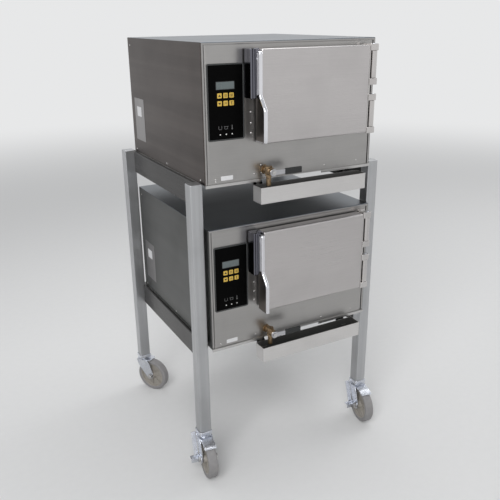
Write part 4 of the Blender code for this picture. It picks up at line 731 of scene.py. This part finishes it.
def make_controls(unit):
    """A rimmed plate with a film face: a display window, six raised keys with plain signs, and
    three lamps with an outline sign over each."""
    left, low, width, height, corner, rim = -0.272, 0.1205, 0.1115, 0.204, 0.006, 0.004
    lo, hi = (left, low), (left + width, low + height)
    first_key, first_row, lamp_row, sign_rise = left + 0.0365, low + 0.1004, low + 0.0168, 0.018
    window, window_size, border = (left + 0.05415, low + 0.14705), np.array([0.0531, 0.0185]), 0.0028
    profile = [(0, 0.0003), (0, 0.0024), (0.0002, 0.0030), (0.0007, 0.0033), (rim - 0.0010, 0.0033),
               (rim - 0.0004, 0.0030), (rim, 0.0024), (rim, 0.0018)]
    face = [(rim - 0.0003, 0.0015), (rim - 0.0003, 0.0023), (rim + 0.0002, 0.0024)]
    bezel, film = ([lift(ring(lo, hi, corner, d, 7), h, "-Y") for d, h in line] for line in (profile, face))
    parts = [(loft(bezel, (True, False)), BEZEL), (loft(film), FILM),
             (pad(*window, window_size + border, border / 2, (0.0020, 0.0026), TINY * 2), BEZEL),
             (pad(*window, window_size, EDGE, (0.0021, 0.0027), TINY), WINDOW)]
    for row in range(2):
        for column in range(3):
            x, z = first_key + KEY_PITCH * column, first_row + KEY_ROW_PITCH * row
            parts.append((pad(x, z, (KEY_SIZE, KEY_SIZE), 0.0016, (0.0022, 0.0030), FINE_EDGE), GOLD))
            parts += [(sign, INK) for sign in key_sign(column, row, x, z)]
    for column in range(3):
        x = first_key + KEY_PITCH * column
        parts.append((screw_head((x, -0.0023, lamp_row), 0.0019), LENS))
        parts += [(sign, GREY_INK) for sign in lamp_sign(column, x, lamp_row + sign_rise)]
    unit.dress("control_face", parts, ROOT, "black_panel", "control_panel", smooth=30)


def flat_sign(outline, top=KEY_TOP):
    """A thin flat mark: its outline stands a hair above the face."""
    return prism(np.asarray(outline), top - PRINT, top, "-Y")


def bar(x, z, width, height, top=KEY_TOP):
    """A thin flat rectangle about (x, z)."""
    sides = np.array([(-width, -height), (width, -height), (width, height), (-width, height)])
    return flat_sign(sides / 2 + (x, z), top)


def key_sign(column, row, x, z):
    """Plain signs: arrows up and down, three lines, two lines, a grid and an upright bar."""
    stroke, length, step = 0.0010, 0.0078, 0.0028
    if column == 0:
        half, foot, tip = 0.0042, 0.0026, 0.0036
        way = 1 if row else -1
        return [flat_sign(np.array([(x - half, z - foot * way), (x + half, z - foot * way),
                                    (x, z + tip * way)])[::way])]
    if column == 1:
        count = 3 if row else 2
        return [bar(x, z + step * (k - (count - 1) / 2), length, stroke) for k in range(count)]
    if row:
        return [bar(x + step * k, z, stroke, length) for k in (-1, 0, 1)] + \
               [bar(x, z + 0.0026 * k, 0.0066, 0.0009) for k in (-1, 1)]
    return [bar(x, z, 0.0018, 0.0066)] + [bar(x, z + 0.0034 * k, 0.0044, stroke) for k in (1, -1)]


def lamp_sign(column, x, z):
    """Outline signs over the lamps: a cup, a pot and a thermometer."""
    stroke, half = 0.0009, 0.0045
    top = LAMP_SIGN_TOP
    if column == 0:
        return [bar(x + side * half, z + 0.001, stroke, 0.009, top) for side in (-1, 1)] + \
               [bar(x, z - 0.0038, 0.0078, stroke, top)]
    if column == 1:
        return [bar(x + side * half, z, stroke, 0.007, top) for side in (-1, 1)] + \
               [bar(x, z - 0.0035, 2 * half, stroke, top), bar(x, z + 0.0035, 0.0130, stroke, top)]
    radius = 0.002
    bulb = ring((x - radius, z - 3 * radius), (x + radius, z - radius), radius, steps=4)
    return [bar(x, z + 0.0022, 2 * stroke, 2 * half, top), flat_sign(bulb, top)]


# Valve
VALVE_X, VALVE_Z = -0.097, 0.0255


def make_valve(unit):
    """The drain valve: pipe and hexagon collar, upright body with two nuts, a ribbed boss in
    front and the outlet pipe below. Every profile is (radius, along the axis)."""
    z = VALVE_Z
    upright, out = (VALVE_X, -0.026, 0), (VALVE_X, 0, z)
    nut, nut_start, nut_end, nut_phase = 0.0112, 0.009, 0.0142, 0.2
    body = [(0.0085, z - 0.012), (0.0100, z - 0.010), (0.0106, z), (0.0100, z + 0.010), (0.0085, z + 0.012)]
    boss = [(0.0095, 0.024), (nut, 0.030), (0.0120, 0.033), (0.0120, 0.040), (nut, 0.042),
            (nut, 0.0442), (0.0100, 0.0450)]
    outlet = [(0.0072, z - 0.013), (0.0072, -0.0175), (0.0052, -0.0175), (0.0052, z - 0.020)]
    parts = [(turned(body, "Z", upright), BRASS),
             (hexagon(nut, z + nut_start, z + nut_end, "Z", upright, nut_phase), BRASS),
             (hexagon(nut, z - nut_end, z - nut_start, "Z", upright, nut_phase), BRASS),
             (turned(boss, "-Y", out), BRASS),
             (rod(0.0072, 0.0445, 0.0480, "-Y", out), SCREW),
             (rod(0.0050, 0.0440, 0.0530, "-Y", out), SCREW),
             (rod(0.0082, -0.0015, 0.026, "-Y", out), BRASS),
             (hexagon(0.0142, GAP, 0.0048, "-Y", out, 0.3), BRASS),
             (turned(outlet, "Z", upright, 32), BRASS)]
    unit.dress("valve_body", parts, ROOT, "brass", "drain_valve")


def make_lever(unit):
    """The lever: a flat blade with a round eye, a nut on the stem and a dipped grip."""
    x, y, z = VALVE_X, -0.0545, VALVE_Z
    eye_radius, blade_length, blade_half, face, back = 0.0108, 0.050, 0.0062, 0.0557, 0.0533
    grip_size, grip_start, grip_end = (0.0184, 0.0070), x + 0.0375, x + 0.0932
    eye = np.linspace(math.radians(38), math.radians(322), 20)
    outline = np.concatenate([np.stack([x + eye_radius * np.cos(eye), z + eye_radius * np.sin(eye)], 1),
                              [(x + blade_length, z - blade_half), (x + blade_length, z + blade_half)]])
    grip = moved(pad(0, 0, grip_size, 0.0030, (grip_start, grip_end), 0.0022, "Z"),
                 Matrix(((0, 0, 1, 0), (0, 1, 0, y), (-1, 0, 0, z), (0, 0, 0, 1))))
    parts = [(prism(outline, back, face, "-Y", FINE_EDGE), LEVER), (grip, GRIP),
             (hexagon(0.0066, face, 0.0592, "-Y", (x, 0, z), 0.4), SCREW)]
    unit.dress("lever_blade", parts, f"{unit.tier}_lever", "brushed_steel", "valve_lever")


def make_rack(unit):
    """The pan rack: round rods for the uprights, runners and cross members."""
    left, right, foot, front, back, radius = -0.1096, 0.2221, 0.1268, 0.0515, 0.4915, 0.003
    tip, bend, bend_steps = foot + 0.208, 0.007, 6
    runner_in, runner_out, first_runner, runner_pitch = 0.0055, 0.020, foot + 0.066, 0.0665
    path = [(left, tip), (left, foot), (right, foot), (right, tip)]
    line = fillet(path, [0, bend, bend, 0], bend_steps)[bend_steps:-bend_steps]
    rods = [np.stack([line[:, 0], np.full(len(line), y), line[:, 1]], 1) for y in (front, back)]
    for level in range(3):
        z = first_runner + runner_pitch * level
        for x in (left + runner_in, right - runner_in):
            rods.append(np.array([(x, y, z) for y in (front - runner_out, 0.15, 0.35, back + runner_out)]))
    unit.dress("rack_rods", [(swept(path, radius), INNER) for path in rods], ROOT, "brushed_steel",
               "pan_rack")


# Small things
FRONT_SCREWS = {"upper": ((-0.252, 0.0131), (-0.252, 0.0065), (-0.1292, 0.0151), (-0.106, 0.0160),
                          (-0.1076, 0.0388), (0.113, 0.0133), (0.2343, 0.0151)),
                "lower": ((-0.2559, 0.0112), (-0.1335, 0.0134), (0.113, 0.0133), (0.2343, 0.0151))}
CATCH_SCREWS = ((-0.138, 0.1915), (-0.138, 0.1613), (-0.138, 0.1335))
SIDE_SCREWS = ((0.5645, 0.355), (0.5645, 0.0100), (0.2835, 0.0100), (0.030, 0.0100))
SMALL_SCREW, CATCH_SCREW, BACK_SCREW = 0.0026, 0.0032, 0.003
BACK_INSET = 0.0016


def make_small_things(unit):
    """Screws in the front sheet, the sides and the back, a blank label, and a blank data plate
    with a white patch."""
    half = CABINET_WIDTH / 2
    parts = [screw_head((x, -TINY, z), SMALL_SCREW) for x, z in FRONT_SCREWS[unit.tier]]
    parts += [screw_head((x, -TINY, z), CATCH_SCREW) for x, z in CATCH_SCREWS]
    for y, z in SIDE_SCREWS:
        screw = screw_head((half - TINY, y, z), SMALL_SCREW, "X")
        parts += [screw, mirrored(screw, 0)]
    for x in (-0.24, 0.0, 0.24):
        for z in (0.012, 0.366):
            points, faces = mirrored(screw_head((x, 0.0, z), BACK_SCREW), 1)
            parts.append((points + [0, CABINET_DEPTH - BACK_INSET, 0], faces))
    unit.dress("screws", [(part, SCREW) for part in parts], ROOT, "zinc")
    label = pad(-0.2175, 0.0142, (0.0376, 0.0124), 0.0012, (TINY, 0.0006), TINY)
    unit.dress("blank_label", [(label, LABEL)], ROOT, "front_steel")
    foil = plate((0.466, 0.047), (0.555, 0.187), 0.003, (half - TINY, half + 0.0005), TINY, "X")
    patch = plate((0.492, 0.128), (0.532, 0.160), 0.001, (half + GAP, half + 0.0008), TINY, "X")
    unit.dress("blank_data_plate", [(mirrored(foil, 0), FOIL), (mirrored(patch, 0), LABEL)], ROOT,
               "brushed_steel")


# Stand
RAIL_SHEET, RAIL_ROLL, RAIL_EDGE = 0.003, 0.003, 0.001
LEG_CORNER, LEG_SHEET, LEG_INTO_CUP = 0.0032, 0.0016, 0.008
CUP_RIM_OVER_FOOT, CUP_DEPTH, CUP_WALL, CUP_CORNER = 0.0010, 0.0139, 0.0026, 0.0056
RACE_HEIGHT = 0.0038
CROWN_PLATE, CROWN_RADIUS = 0.0034, 0.0248


def make_rail(unit, where):
    """An angle rail: its L is rounded over the outer bend and at both free edges, and carried
    along the rail. The bend stands outside and the flange runs in under the cabinet."""
    low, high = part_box(unit.name(f"rail_{where}"))
    top, foot = high.z, low.z
    outer, inner = {"left": (low.x, high.x), "right": (high.x, low.x), "back": (high.y, low.y)}[where]
    web = outer + math.copysign(RAIL_SHEET, inner - outer)
    line = [(outer, top), (outer, foot), (web, foot), (web, top - RAIL_SHEET),
            (inner, top - RAIL_SHEET), (inner, top)]
    outline = fillet(line, [RAIL_ROLL, RAIL_EDGE, RAIL_EDGE, TINY, RAIL_EDGE, RAIL_EDGE], 4)
    if where == "back":
        part = prism(outline, low.x, high.x, "X", RAIL_EDGE / 2)
    else:
        part = mirrored(prism(outline, low.y, high.y, "-Y", RAIL_EDGE / 2), 1)
    # The rails take the painted-shade copies of the legs' steel.
    piece(unit.name(f"angle_{where}"), [(part, SHADED_BACK_RAIL if where == "back" else SHADED_RAIL)], ROOT,
          "leg_steel", unit.name(f"rail_{where}"))


def make_leg(corner):
    """A square tube with round corners, down into the caster's cup, and a flat cap a little
    smaller than the tube."""
    low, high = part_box(f"leg_{corner}")
    a, b, r = (low.x, low.y), (high.x, high.y), LEG_CORNER
    foot, head = low.z - LEG_INTO_CUP, high.z
    cap = ((0, 1.0), (0.0003, 0.5), (0.0010, 0.125), (0.0018, 0), (0.0022, 0.125))
    tube = loft([lift(ring(a, b, r), foot)] +
                [lift(ring(a, b, r, d), head - LEG_SHEET * share) for d, share in cap], (False, True))
    piece(f"tube_{corner}", [(tube, LEG)], ROOT, "leg_steel", f"leg_{corner}", LEG_SHEET, **OPEN_SHELL)


def caster_levels():
    """Heights of the cup's foot and the crown's top, down from the leg's foot."""
    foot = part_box("leg_front_left")[0].z + CUP_RIM_OVER_FOOT - CUP_DEPTH
    return foot, foot - RACE_HEIGHT


CUP_FOOT, CROWN_TOP = caster_levels()
AXLE_Z = HINGE["roll_front_left"]["pos_m"][2]
TRAIL = 0.040
WHEEL_RADIUS = 0.0624
ARM_INSIDE, ARM_SHEET, ARM_EYE = 0.020, 0.0030, 0.011
HOOD_GAP, HOOD_SHEET = 0.0020, 0.0026
HOOD_START, HOOD_END = math.radians(-6), math.radians(31)


def make_socket(corner):
    """The caster's cup round the leg's foot, with a rolled rim, over a round raceway: the cup's
    section is carried round a round-cornered square, and the raceway's two rolls are turned."""
    low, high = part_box(f"caster_socket_{corner}")
    a, b = (low.x, low.y), (high.x, high.y)
    outside = [(0.0030, 0.0), (0.0010, 0.0005), (0, 0.0016), (0, CUP_DEPTH - 0.0032),
               (0.0004, CUP_DEPTH - 0.0012), (0.0012, CUP_DEPTH), (0.0020, CUP_DEPTH - 0.0003)]
    inside = [(CUP_WALL, CUP_DEPTH - 0.0010), (CUP_WALL, CUP_DEPTH - 0.0100)]
    cup = loft([lift(ring(a, b, CUP_CORNER, d), CUP_FOOT + h) for d, h in outside + inside])
    rolls = [(0.0185, 0), (0.0225, 0.0003), (0.0236, 0.0010), (0.0225, 0.0017), (0.0208, 0.0019),
             (0.0208, 0.0022), (0.0226, 0.0024), (0.0234, 0.0031), (0.0226, 0.0038), (0.0180, 0.0039)]
    race = turned(rolls, "Z", ((low.x + high.x) / 2, (low.y + high.y) / 2, CROWN_TOP), 48)
    piece(f"stem_cup_{corner}", [(cup, ZINC), (race, ZINC)], ROOT, "zinc", f"caster_socket_{corner}")


def fork_arm(side):
    """One arm: a broad pressing under the crown that narrows to a round end at the axle."""
    behind, ahead, below = -TRAIL - ARM_EYE, -TRAIL + ARM_EYE, AXLE_Z - ARM_EYE
    outline = fillet([(0.0215, CROWN_TOP), (-0.0232, CROWN_TOP), (-0.036, CROWN_TOP - 0.012),
                      (behind, AXLE_Z + 0.014), (behind, below), (ahead, below),
                      (0.0120, CROWN_TOP - 0.028)],
                     [0.003, 0.004, 0.012, 0.012, 0.0105, 0.0105, 0.030], 6)
    start, end = sorted((side * ARM_INSIDE, side * (ARM_INSIDE + ARM_SHEET)))
    return prism(outline, start, end, "X", EDGE)


def brake_hood():
    """The brake's shoe: a curved plate that follows the tyre's tread at an even gap, from under
    the crown forwards, and ends in a straight edge."""
    inner = WHEEL_RADIUS + HOOD_GAP
    a = np.linspace(HOOD_START, HOOD_END, 14)
    centre = np.array([-TRAIL, AXLE_Z])
    spokes = np.stack([-np.sin(a), np.cos(a)], 1)
    line = np.concatenate([centre + inner * spokes, centre + (inner + HOOD_SHEET) * spokes[::-1]])
    half = ARM_INSIDE - 0.0004
    return prism(line, -half, half, "X", 0.0007)


def make_fork(corner, place):
    """The yoke: crown, two arms, a plate that reaches out over the tyre, and the axle with its
    hexagon ends. A caster with a brake has the brake's shoe too."""
    reach, ahead, half = 0.0385, 0.0195, ARM_INSIDE + EDGE
    axle, axle_radius, axle_half = (0, -TRAIL, AXLE_Z), 0.0050, 0.0315
    washer, washer_inside, nut, nut_inside, nut_outside = 0.0105, 0.0253, 0.0090, 0.0261, 0.0311
    parts = [(fork_arm(-1), ZINC), (fork_arm(1), ZINC),
             (rod(CROWN_RADIUS, CROWN_TOP - CROWN_PLATE, CROWN_TOP, "Z", (0, 0, 0), SOFT_EDGE, 48), ZINC),
             (plate((-half, -reach), (half, ahead), 0.004,
                    (CROWN_TOP - CROWN_PLATE + 0.0002, CROWN_TOP - 0.0004), 0.0012), ZINC)]
    if corner.startswith("front"):
        parts.append((brake_hood(), ZINC))
    parts.append((rod(axle_radius, -axle_half, axle_half, "X", axle, EDGE), SCREW))
    for side in (-1, 1):
        start, end = sorted((side * nut_inside, side * nut_outside))
        parts.append((hexagon(nut, start, end, "X", axle, 0.2), SCREW))
        start, end = sorted((side * washer_inside, side * nut_inside))
        parts.append((rod(washer, start, end, "X", axle), SCREW))
    piece(f"yoke_{corner}", [(moved(p, place), m) for p, m in parts], f"fork_{corner}", "zinc",
          f"caster_fork_{corner}")


def make_wheel(corner, place):
    """Tyre and hub, turned about the axle: the tyre's section is a rounded tread on a narrow
    foot, the hub's a rim, a dished web and a boss with a bore. Eight ribs stand on each side of
    the web, and a bearing shows in each end of the boss. Every section is (radius, along)."""
    centre, round_steps = (0, -TRAIL, AXLE_Z), 96
    roll, flat, squareness = 0.0065, 0.0085, 0.8
    turn = np.linspace(-math.pi / 2, math.pi / 2, 13)
    tread = np.stack([WHEEL_RADIUS - roll + roll * np.cos(turn) ** squareness,
                      flat * np.sign(np.round(turn, 2)) + roll * np.sin(turn)], 1).tolist()
    shoulder = [(0.0490, 0.0130), (0.0520, 0.0146), (0.0555, 0.0150)]
    section = [(r, -s) for r, s in shoulder] + tread + shoulder[::-1]
    tyre = turned(section, "X", centre, round_steps, (False, False), joined=True)
    piece(f"tyre_{corner}", [(moved(tyre, place), TYRE)], f"wheel_{corner}", "tyre_and_hub",
          f"caster_wheel_{corner}")
    half = [(0.0054, 0.0178), (0.0105, 0.0178), (0.0122, 0.0170), (0.0130, 0.0150), (0.0140, 0.0095),
            (0.0165, 0.0068), (0.0300, 0.0060), (0.0420, 0.0062), (0.0445, 0.0080), (0.0455, 0.0115),
            (0.0465, 0.0130), (0.0488, 0.0134), (0.0505, 0.0128), (0.0505, 0.0100)]
    section = half + [(r, -s) for r, s in half[::-1]]
    parts = [(turned(section, "X", centre, round_steps, (False, False), joined=True), HUB)]
    rib_count, rib_half, rib_foot, rib_end, rib_low, rib_top = 8, 0.0016, 0.012, 0.0462, 0.0045, 0.0092
    rib = plate((-rib_half, rib_foot), (rib_half, rib_end), SOFT_EDGE, (rib_low, rib_top), EDGE)
    for k in range(rib_count):
        turned_rib = Matrix.Translation(centre) @ Matrix.Rotation(math.tau * k / rib_count, 4, "X")
        for way in (1, -1):
            upright = Matrix(((0, 0, way, 0), (1, 0, 0, 0), (0, 1, 0, 0), (0, 0, 0, 1)))
            parts.append((moved(rib, turned_rib @ upright), HUB))
    bore, outside, face, lip = 0.0058, 0.0092, 0.0172, 0.0186
    for s in (-1, 1):
        section = [(bore, s * face), (bore, s * lip), (outside, s * lip), (outside, s * face)]
        parts.append((turned(section, "X", centre, 40, (False, False), joined=True), SCREW))
    piece(f"hub_{corner}", [(moved(p, place), m) for p, m in parts], f"wheel_{corner}", "tyre_and_hub")


def make_pedal(corner, place):
    """The brake pedal: a ring on the axle, an arm to a foot tab turned outwards with a bent
    front edge and three ribs, and a flat lever that stands up beside the fork."""
    far, near = -0.0258, -0.0233
    y, z = -TRAIL, AXLE_Z
    eye, arm_end, arm_foot, arm_head = 0.0128, y + 0.033, z - 0.0075, z + 0.0040
    a = np.linspace(math.radians(20), math.radians(325), 26)
    outline = np.concatenate([np.stack([y + eye * np.cos(a), z + eye * np.sin(a)], 1),
                              [(arm_end, arm_foot), (arm_end, arm_head)]])
    tab_low, tab_high = (far - 0.027, y + 0.010), (far + 0.0008, y + 0.032)
    tab_foot, tab_top = 0.0036, 0.0010
    flange_drop, flange_sheet = 0.0140, 0.0026
    parts = [prism(outline, far, near, "X", 0.0005),
             plate(tab_low, tab_high, 0.003, (z - tab_foot, z - tab_top), 0.0007),
             plate((tab_low[0], z - flange_drop), (tab_high[0], z - 0.0012), 0.0025,
                   (-tab_low[1] - flange_sheet, -tab_low[1]), SOFT_EDGE, "-Y")]
    rib_half, first_rib, rib_pitch = 0.0010, y + 0.0145, 0.0062
    for k in range(3):
        middle = first_rib + rib_pitch * k
        parts.append(plate((far - 0.023, middle - rib_half), (far - 0.003, middle + rib_half), 0.0009,
                           (z - 0.0015, z), 0.0005))
    foot, head = np.array([y + 0.027, z - 0.002]), np.array([0.017, CUP_FOOT - 0.0010])
    lever_half, lever_width, lever_edge = 0.0016, 0.0135, 0.0012
    along = (head - foot) / np.linalg.norm(head - foot)
    square = np.array([-along[1], along[0]]) * lever_half
    line = fillet([foot + square, foot - square, head - square, head + square], lever_edge, 3)
    parts.append(prism(line, far - lever_width, far + EDGE, "X", EDGE))
    piece(f"foot_pedal_{corner}", [(moved(p, place), ZINC) for p in parts], f"pedal_{corner}", "zinc",
          f"brake_pedal_{corner}")


# Stage
HORIZON, ZENITH = (0.80, 0.805, 0.81), (0.60, 0.615, 0.63)
FLOOR_RINGS, FLOOR_LEVEL = (0.02, 1.5, 4.0, 12.0, 30.0), -0.0004
FLOOR_TONES, FLOOR_FALL = (0.72, 0.66), (0.4, 5.0)
GLOW_START, GLOW_FULL = 2.0, 7.5
ROOM_LIGHT = 0.55


def make_stage():
    """A pale floor that fades into the world's horizon colour, and the soft room round it."""
    a = np.linspace(0, math.tau, 96, endpoint=False)
    circle = np.stack([np.cos(a), np.sin(a)], -1)
    points, faces = loft([lift(r * circle, FLOOR_LEVEL) for r in FLOOR_RINGS], (True, False))
    mesh = bpy.data.meshes.new("floor")
    mesh.from_pydata(points.tolist(), [], [face[::-1] for face in faces])
    floor = bpy.data.objects.new("floor", mesh)
    bpy.context.scene.collection.objects.link(floor)
    made = bpy.data.materials.new("floor")
    made.use_nodes = True
    tree = made.node_tree
    place = tree.nodes.new("ShaderNodeTexCoord").outputs["Object"]
    far = add(tree, "ShaderNodeVectorMath", {0: place}, operation="LENGTH").outputs["Value"]
    share = add(tree, "ShaderNodeMapRange", {0: far, 1: GLOW_START, 2: GLOW_FULL},
                interpolation_type="SMOOTHSTEP")
    fall = add(tree, "ShaderNodeMapRange", {0: far, 1: FLOOR_FALL[0], 2: FLOOR_FALL[1],
                                            3: FLOOR_TONES[0], 4: FLOOR_TONES[1]})
    speck = add(tree, "ShaderNodeTexNoise", {"Vector": place, "Scale": 40.0, "Detail": 6.0})
    tone = maths(tree, "MULTIPLY_ADD", speck.outputs["Fac"], 0.03, fall.outputs[0])
    near = add(tree, "ShaderNodeBsdfDiffuse", {"Color": tone, "Roughness": 0.5})
    glow = add(tree, "ShaderNodeEmission", {"Color": (*HORIZON, 1), "Strength": 1.0})
    mixed = add(tree, "ShaderNodeMixShader", {0: share.outputs[0], 1: near.outputs[0], 2: glow.outputs[0]})
    tree.links.new(mixed.outputs[0], tree.nodes["Material Output"].inputs["Surface"])
    mesh.materials.append(made)

    world = bpy.data.worlds.new("room")
    world.use_nodes = True
    bpy.context.scene.world = world
    tree = world.node_tree
    place = tree.nodes.new("ShaderNodeTexCoord").outputs["Generated"]
    height = add(tree, "ShaderNodeSeparateXYZ", {0: place}).outputs["Z"]
    share = add(tree, "ShaderNodeMapRange", {0: height, 1: 0.0, 2: 0.8}, interpolation_type="SMOOTHSTEP")
    colour = blend_colours(tree, share.outputs[0], (*HORIZON, 1), (*ZENITH, 1))
    rays = tree.nodes.new("ShaderNodeLightPath").outputs
    seen = maths(tree, "ADD", maths(tree, "ADD", rays["Is Camera Ray"], rays["Is Glossy Ray"]),
                 rays["Is Transmission Ray"], clamp=True)
    strength = add(tree, "ShaderNodeMapRange", {0: seen, 3: ROOM_LIGHT, 4: 1.0}).outputs[0]
    background = tree.nodes["Background"]
    tree.links.new(colour, background.inputs["Color"])
    tree.links.new(strength, background.inputs["Strength"])


def add_lamp(name, place, aim, size, power):
    """A soft rectangle of light that faces its aim."""
    lamp = bpy.data.lights.new(name, "AREA")
    lamp.shape = "RECTANGLE"
    lamp.size, lamp.size_y = size
    lamp.energy = power
    made = bpy.data.objects.new(name, lamp)
    bpy.context.scene.collection.objects.link(made)
    made.location = place
    made.rotation_euler = (Vector(aim) - Vector(place)).to_track_quat("-Z", "Y").to_euler()


def make_camera():
    """The camera stands at the fitted place and looks along yaw, pitch and roll."""
    forward = Vector((math.sin(CAMERA_YAW) * math.cos(CAMERA_PITCH),
                      math.cos(CAMERA_YAW) * math.cos(CAMERA_PITCH), math.sin(CAMERA_PITCH)))
    right = Vector((math.cos(CAMERA_YAW), -math.sin(CAMERA_YAW), 0))
    up = right.cross(forward)
    across = right * math.cos(CAMERA_ROLL) + up * math.sin(CAMERA_ROLL)
    upright = up * math.cos(CAMERA_ROLL) - right * math.sin(CAMERA_ROLL)
    lens = bpy.data.cameras.new("view")
    lens.lens, lens.sensor_width, lens.sensor_fit = CAMERA_LENS, SENSOR, "HORIZONTAL"
    camera = bpy.data.objects.new("view", lens)
    bpy.context.scene.collection.objects.link(camera)
    camera.matrix_world = Matrix.Translation(CAMERA_PLACE) @ Matrix(
        (across, upright, -forward)).transposed().to_4x4()
    bpy.context.scene.camera = camera


def finish_node(node, finish):
    """Gives a CAD node that stays in view its finish."""
    mesh = frame["nodes"][node].data
    mesh.materials.clear()
    mesh.materials.append(finish)


def dress_steamer(unit):
    """Makes one steamer's pieces, and finishes the CAD nodes that stay in view."""
    for make in (make_casing, make_door, make_gasket, make_trough, make_hinge, make_housing,
                 make_handle, make_strike, make_controls, make_valve, make_lever, make_rack,
                 make_small_things):
        make(unit)
    for node, finish in (("front_panel", FRONT), ("base_pan", LIP), ("back_panel", BACK),
                         ("cooking_chamber", INNER), ("door_liner", INNER)):
        finish_node(unit.name(node), finish)
    for where in ("left", "right", "back"):
        make_rail(unit, where)


for tier in TIERS:
    dress_steamer(Steamer(tier))
for corner in CORNERS:
    place = caster_matrix(corner)
    make_leg(corner)
    make_socket(corner)
    make_fork(corner, place)
    make_wheel(corner, place)
    if corner.startswith("front"):
        make_pedal(corner, place)

make_stage()
STAND_MIDDLE = (0, 0, 0.7)
add_lamp("key", (-2.2, -2.6, 3.0), STAND_MIDDLE, (2.4, 2.4), 90)
add_lamp("fill", (3.4, 0.3, 2.6), STAND_MIDDLE, (2.4, 2.4), 40)
add_lamp("top", (0.3, 0.6, 3.4), (0, 0, 0.8), (2.6, 2.0), 40)
make_camera()
bpy.context.scene.view_settings.view_transform = "Standard"
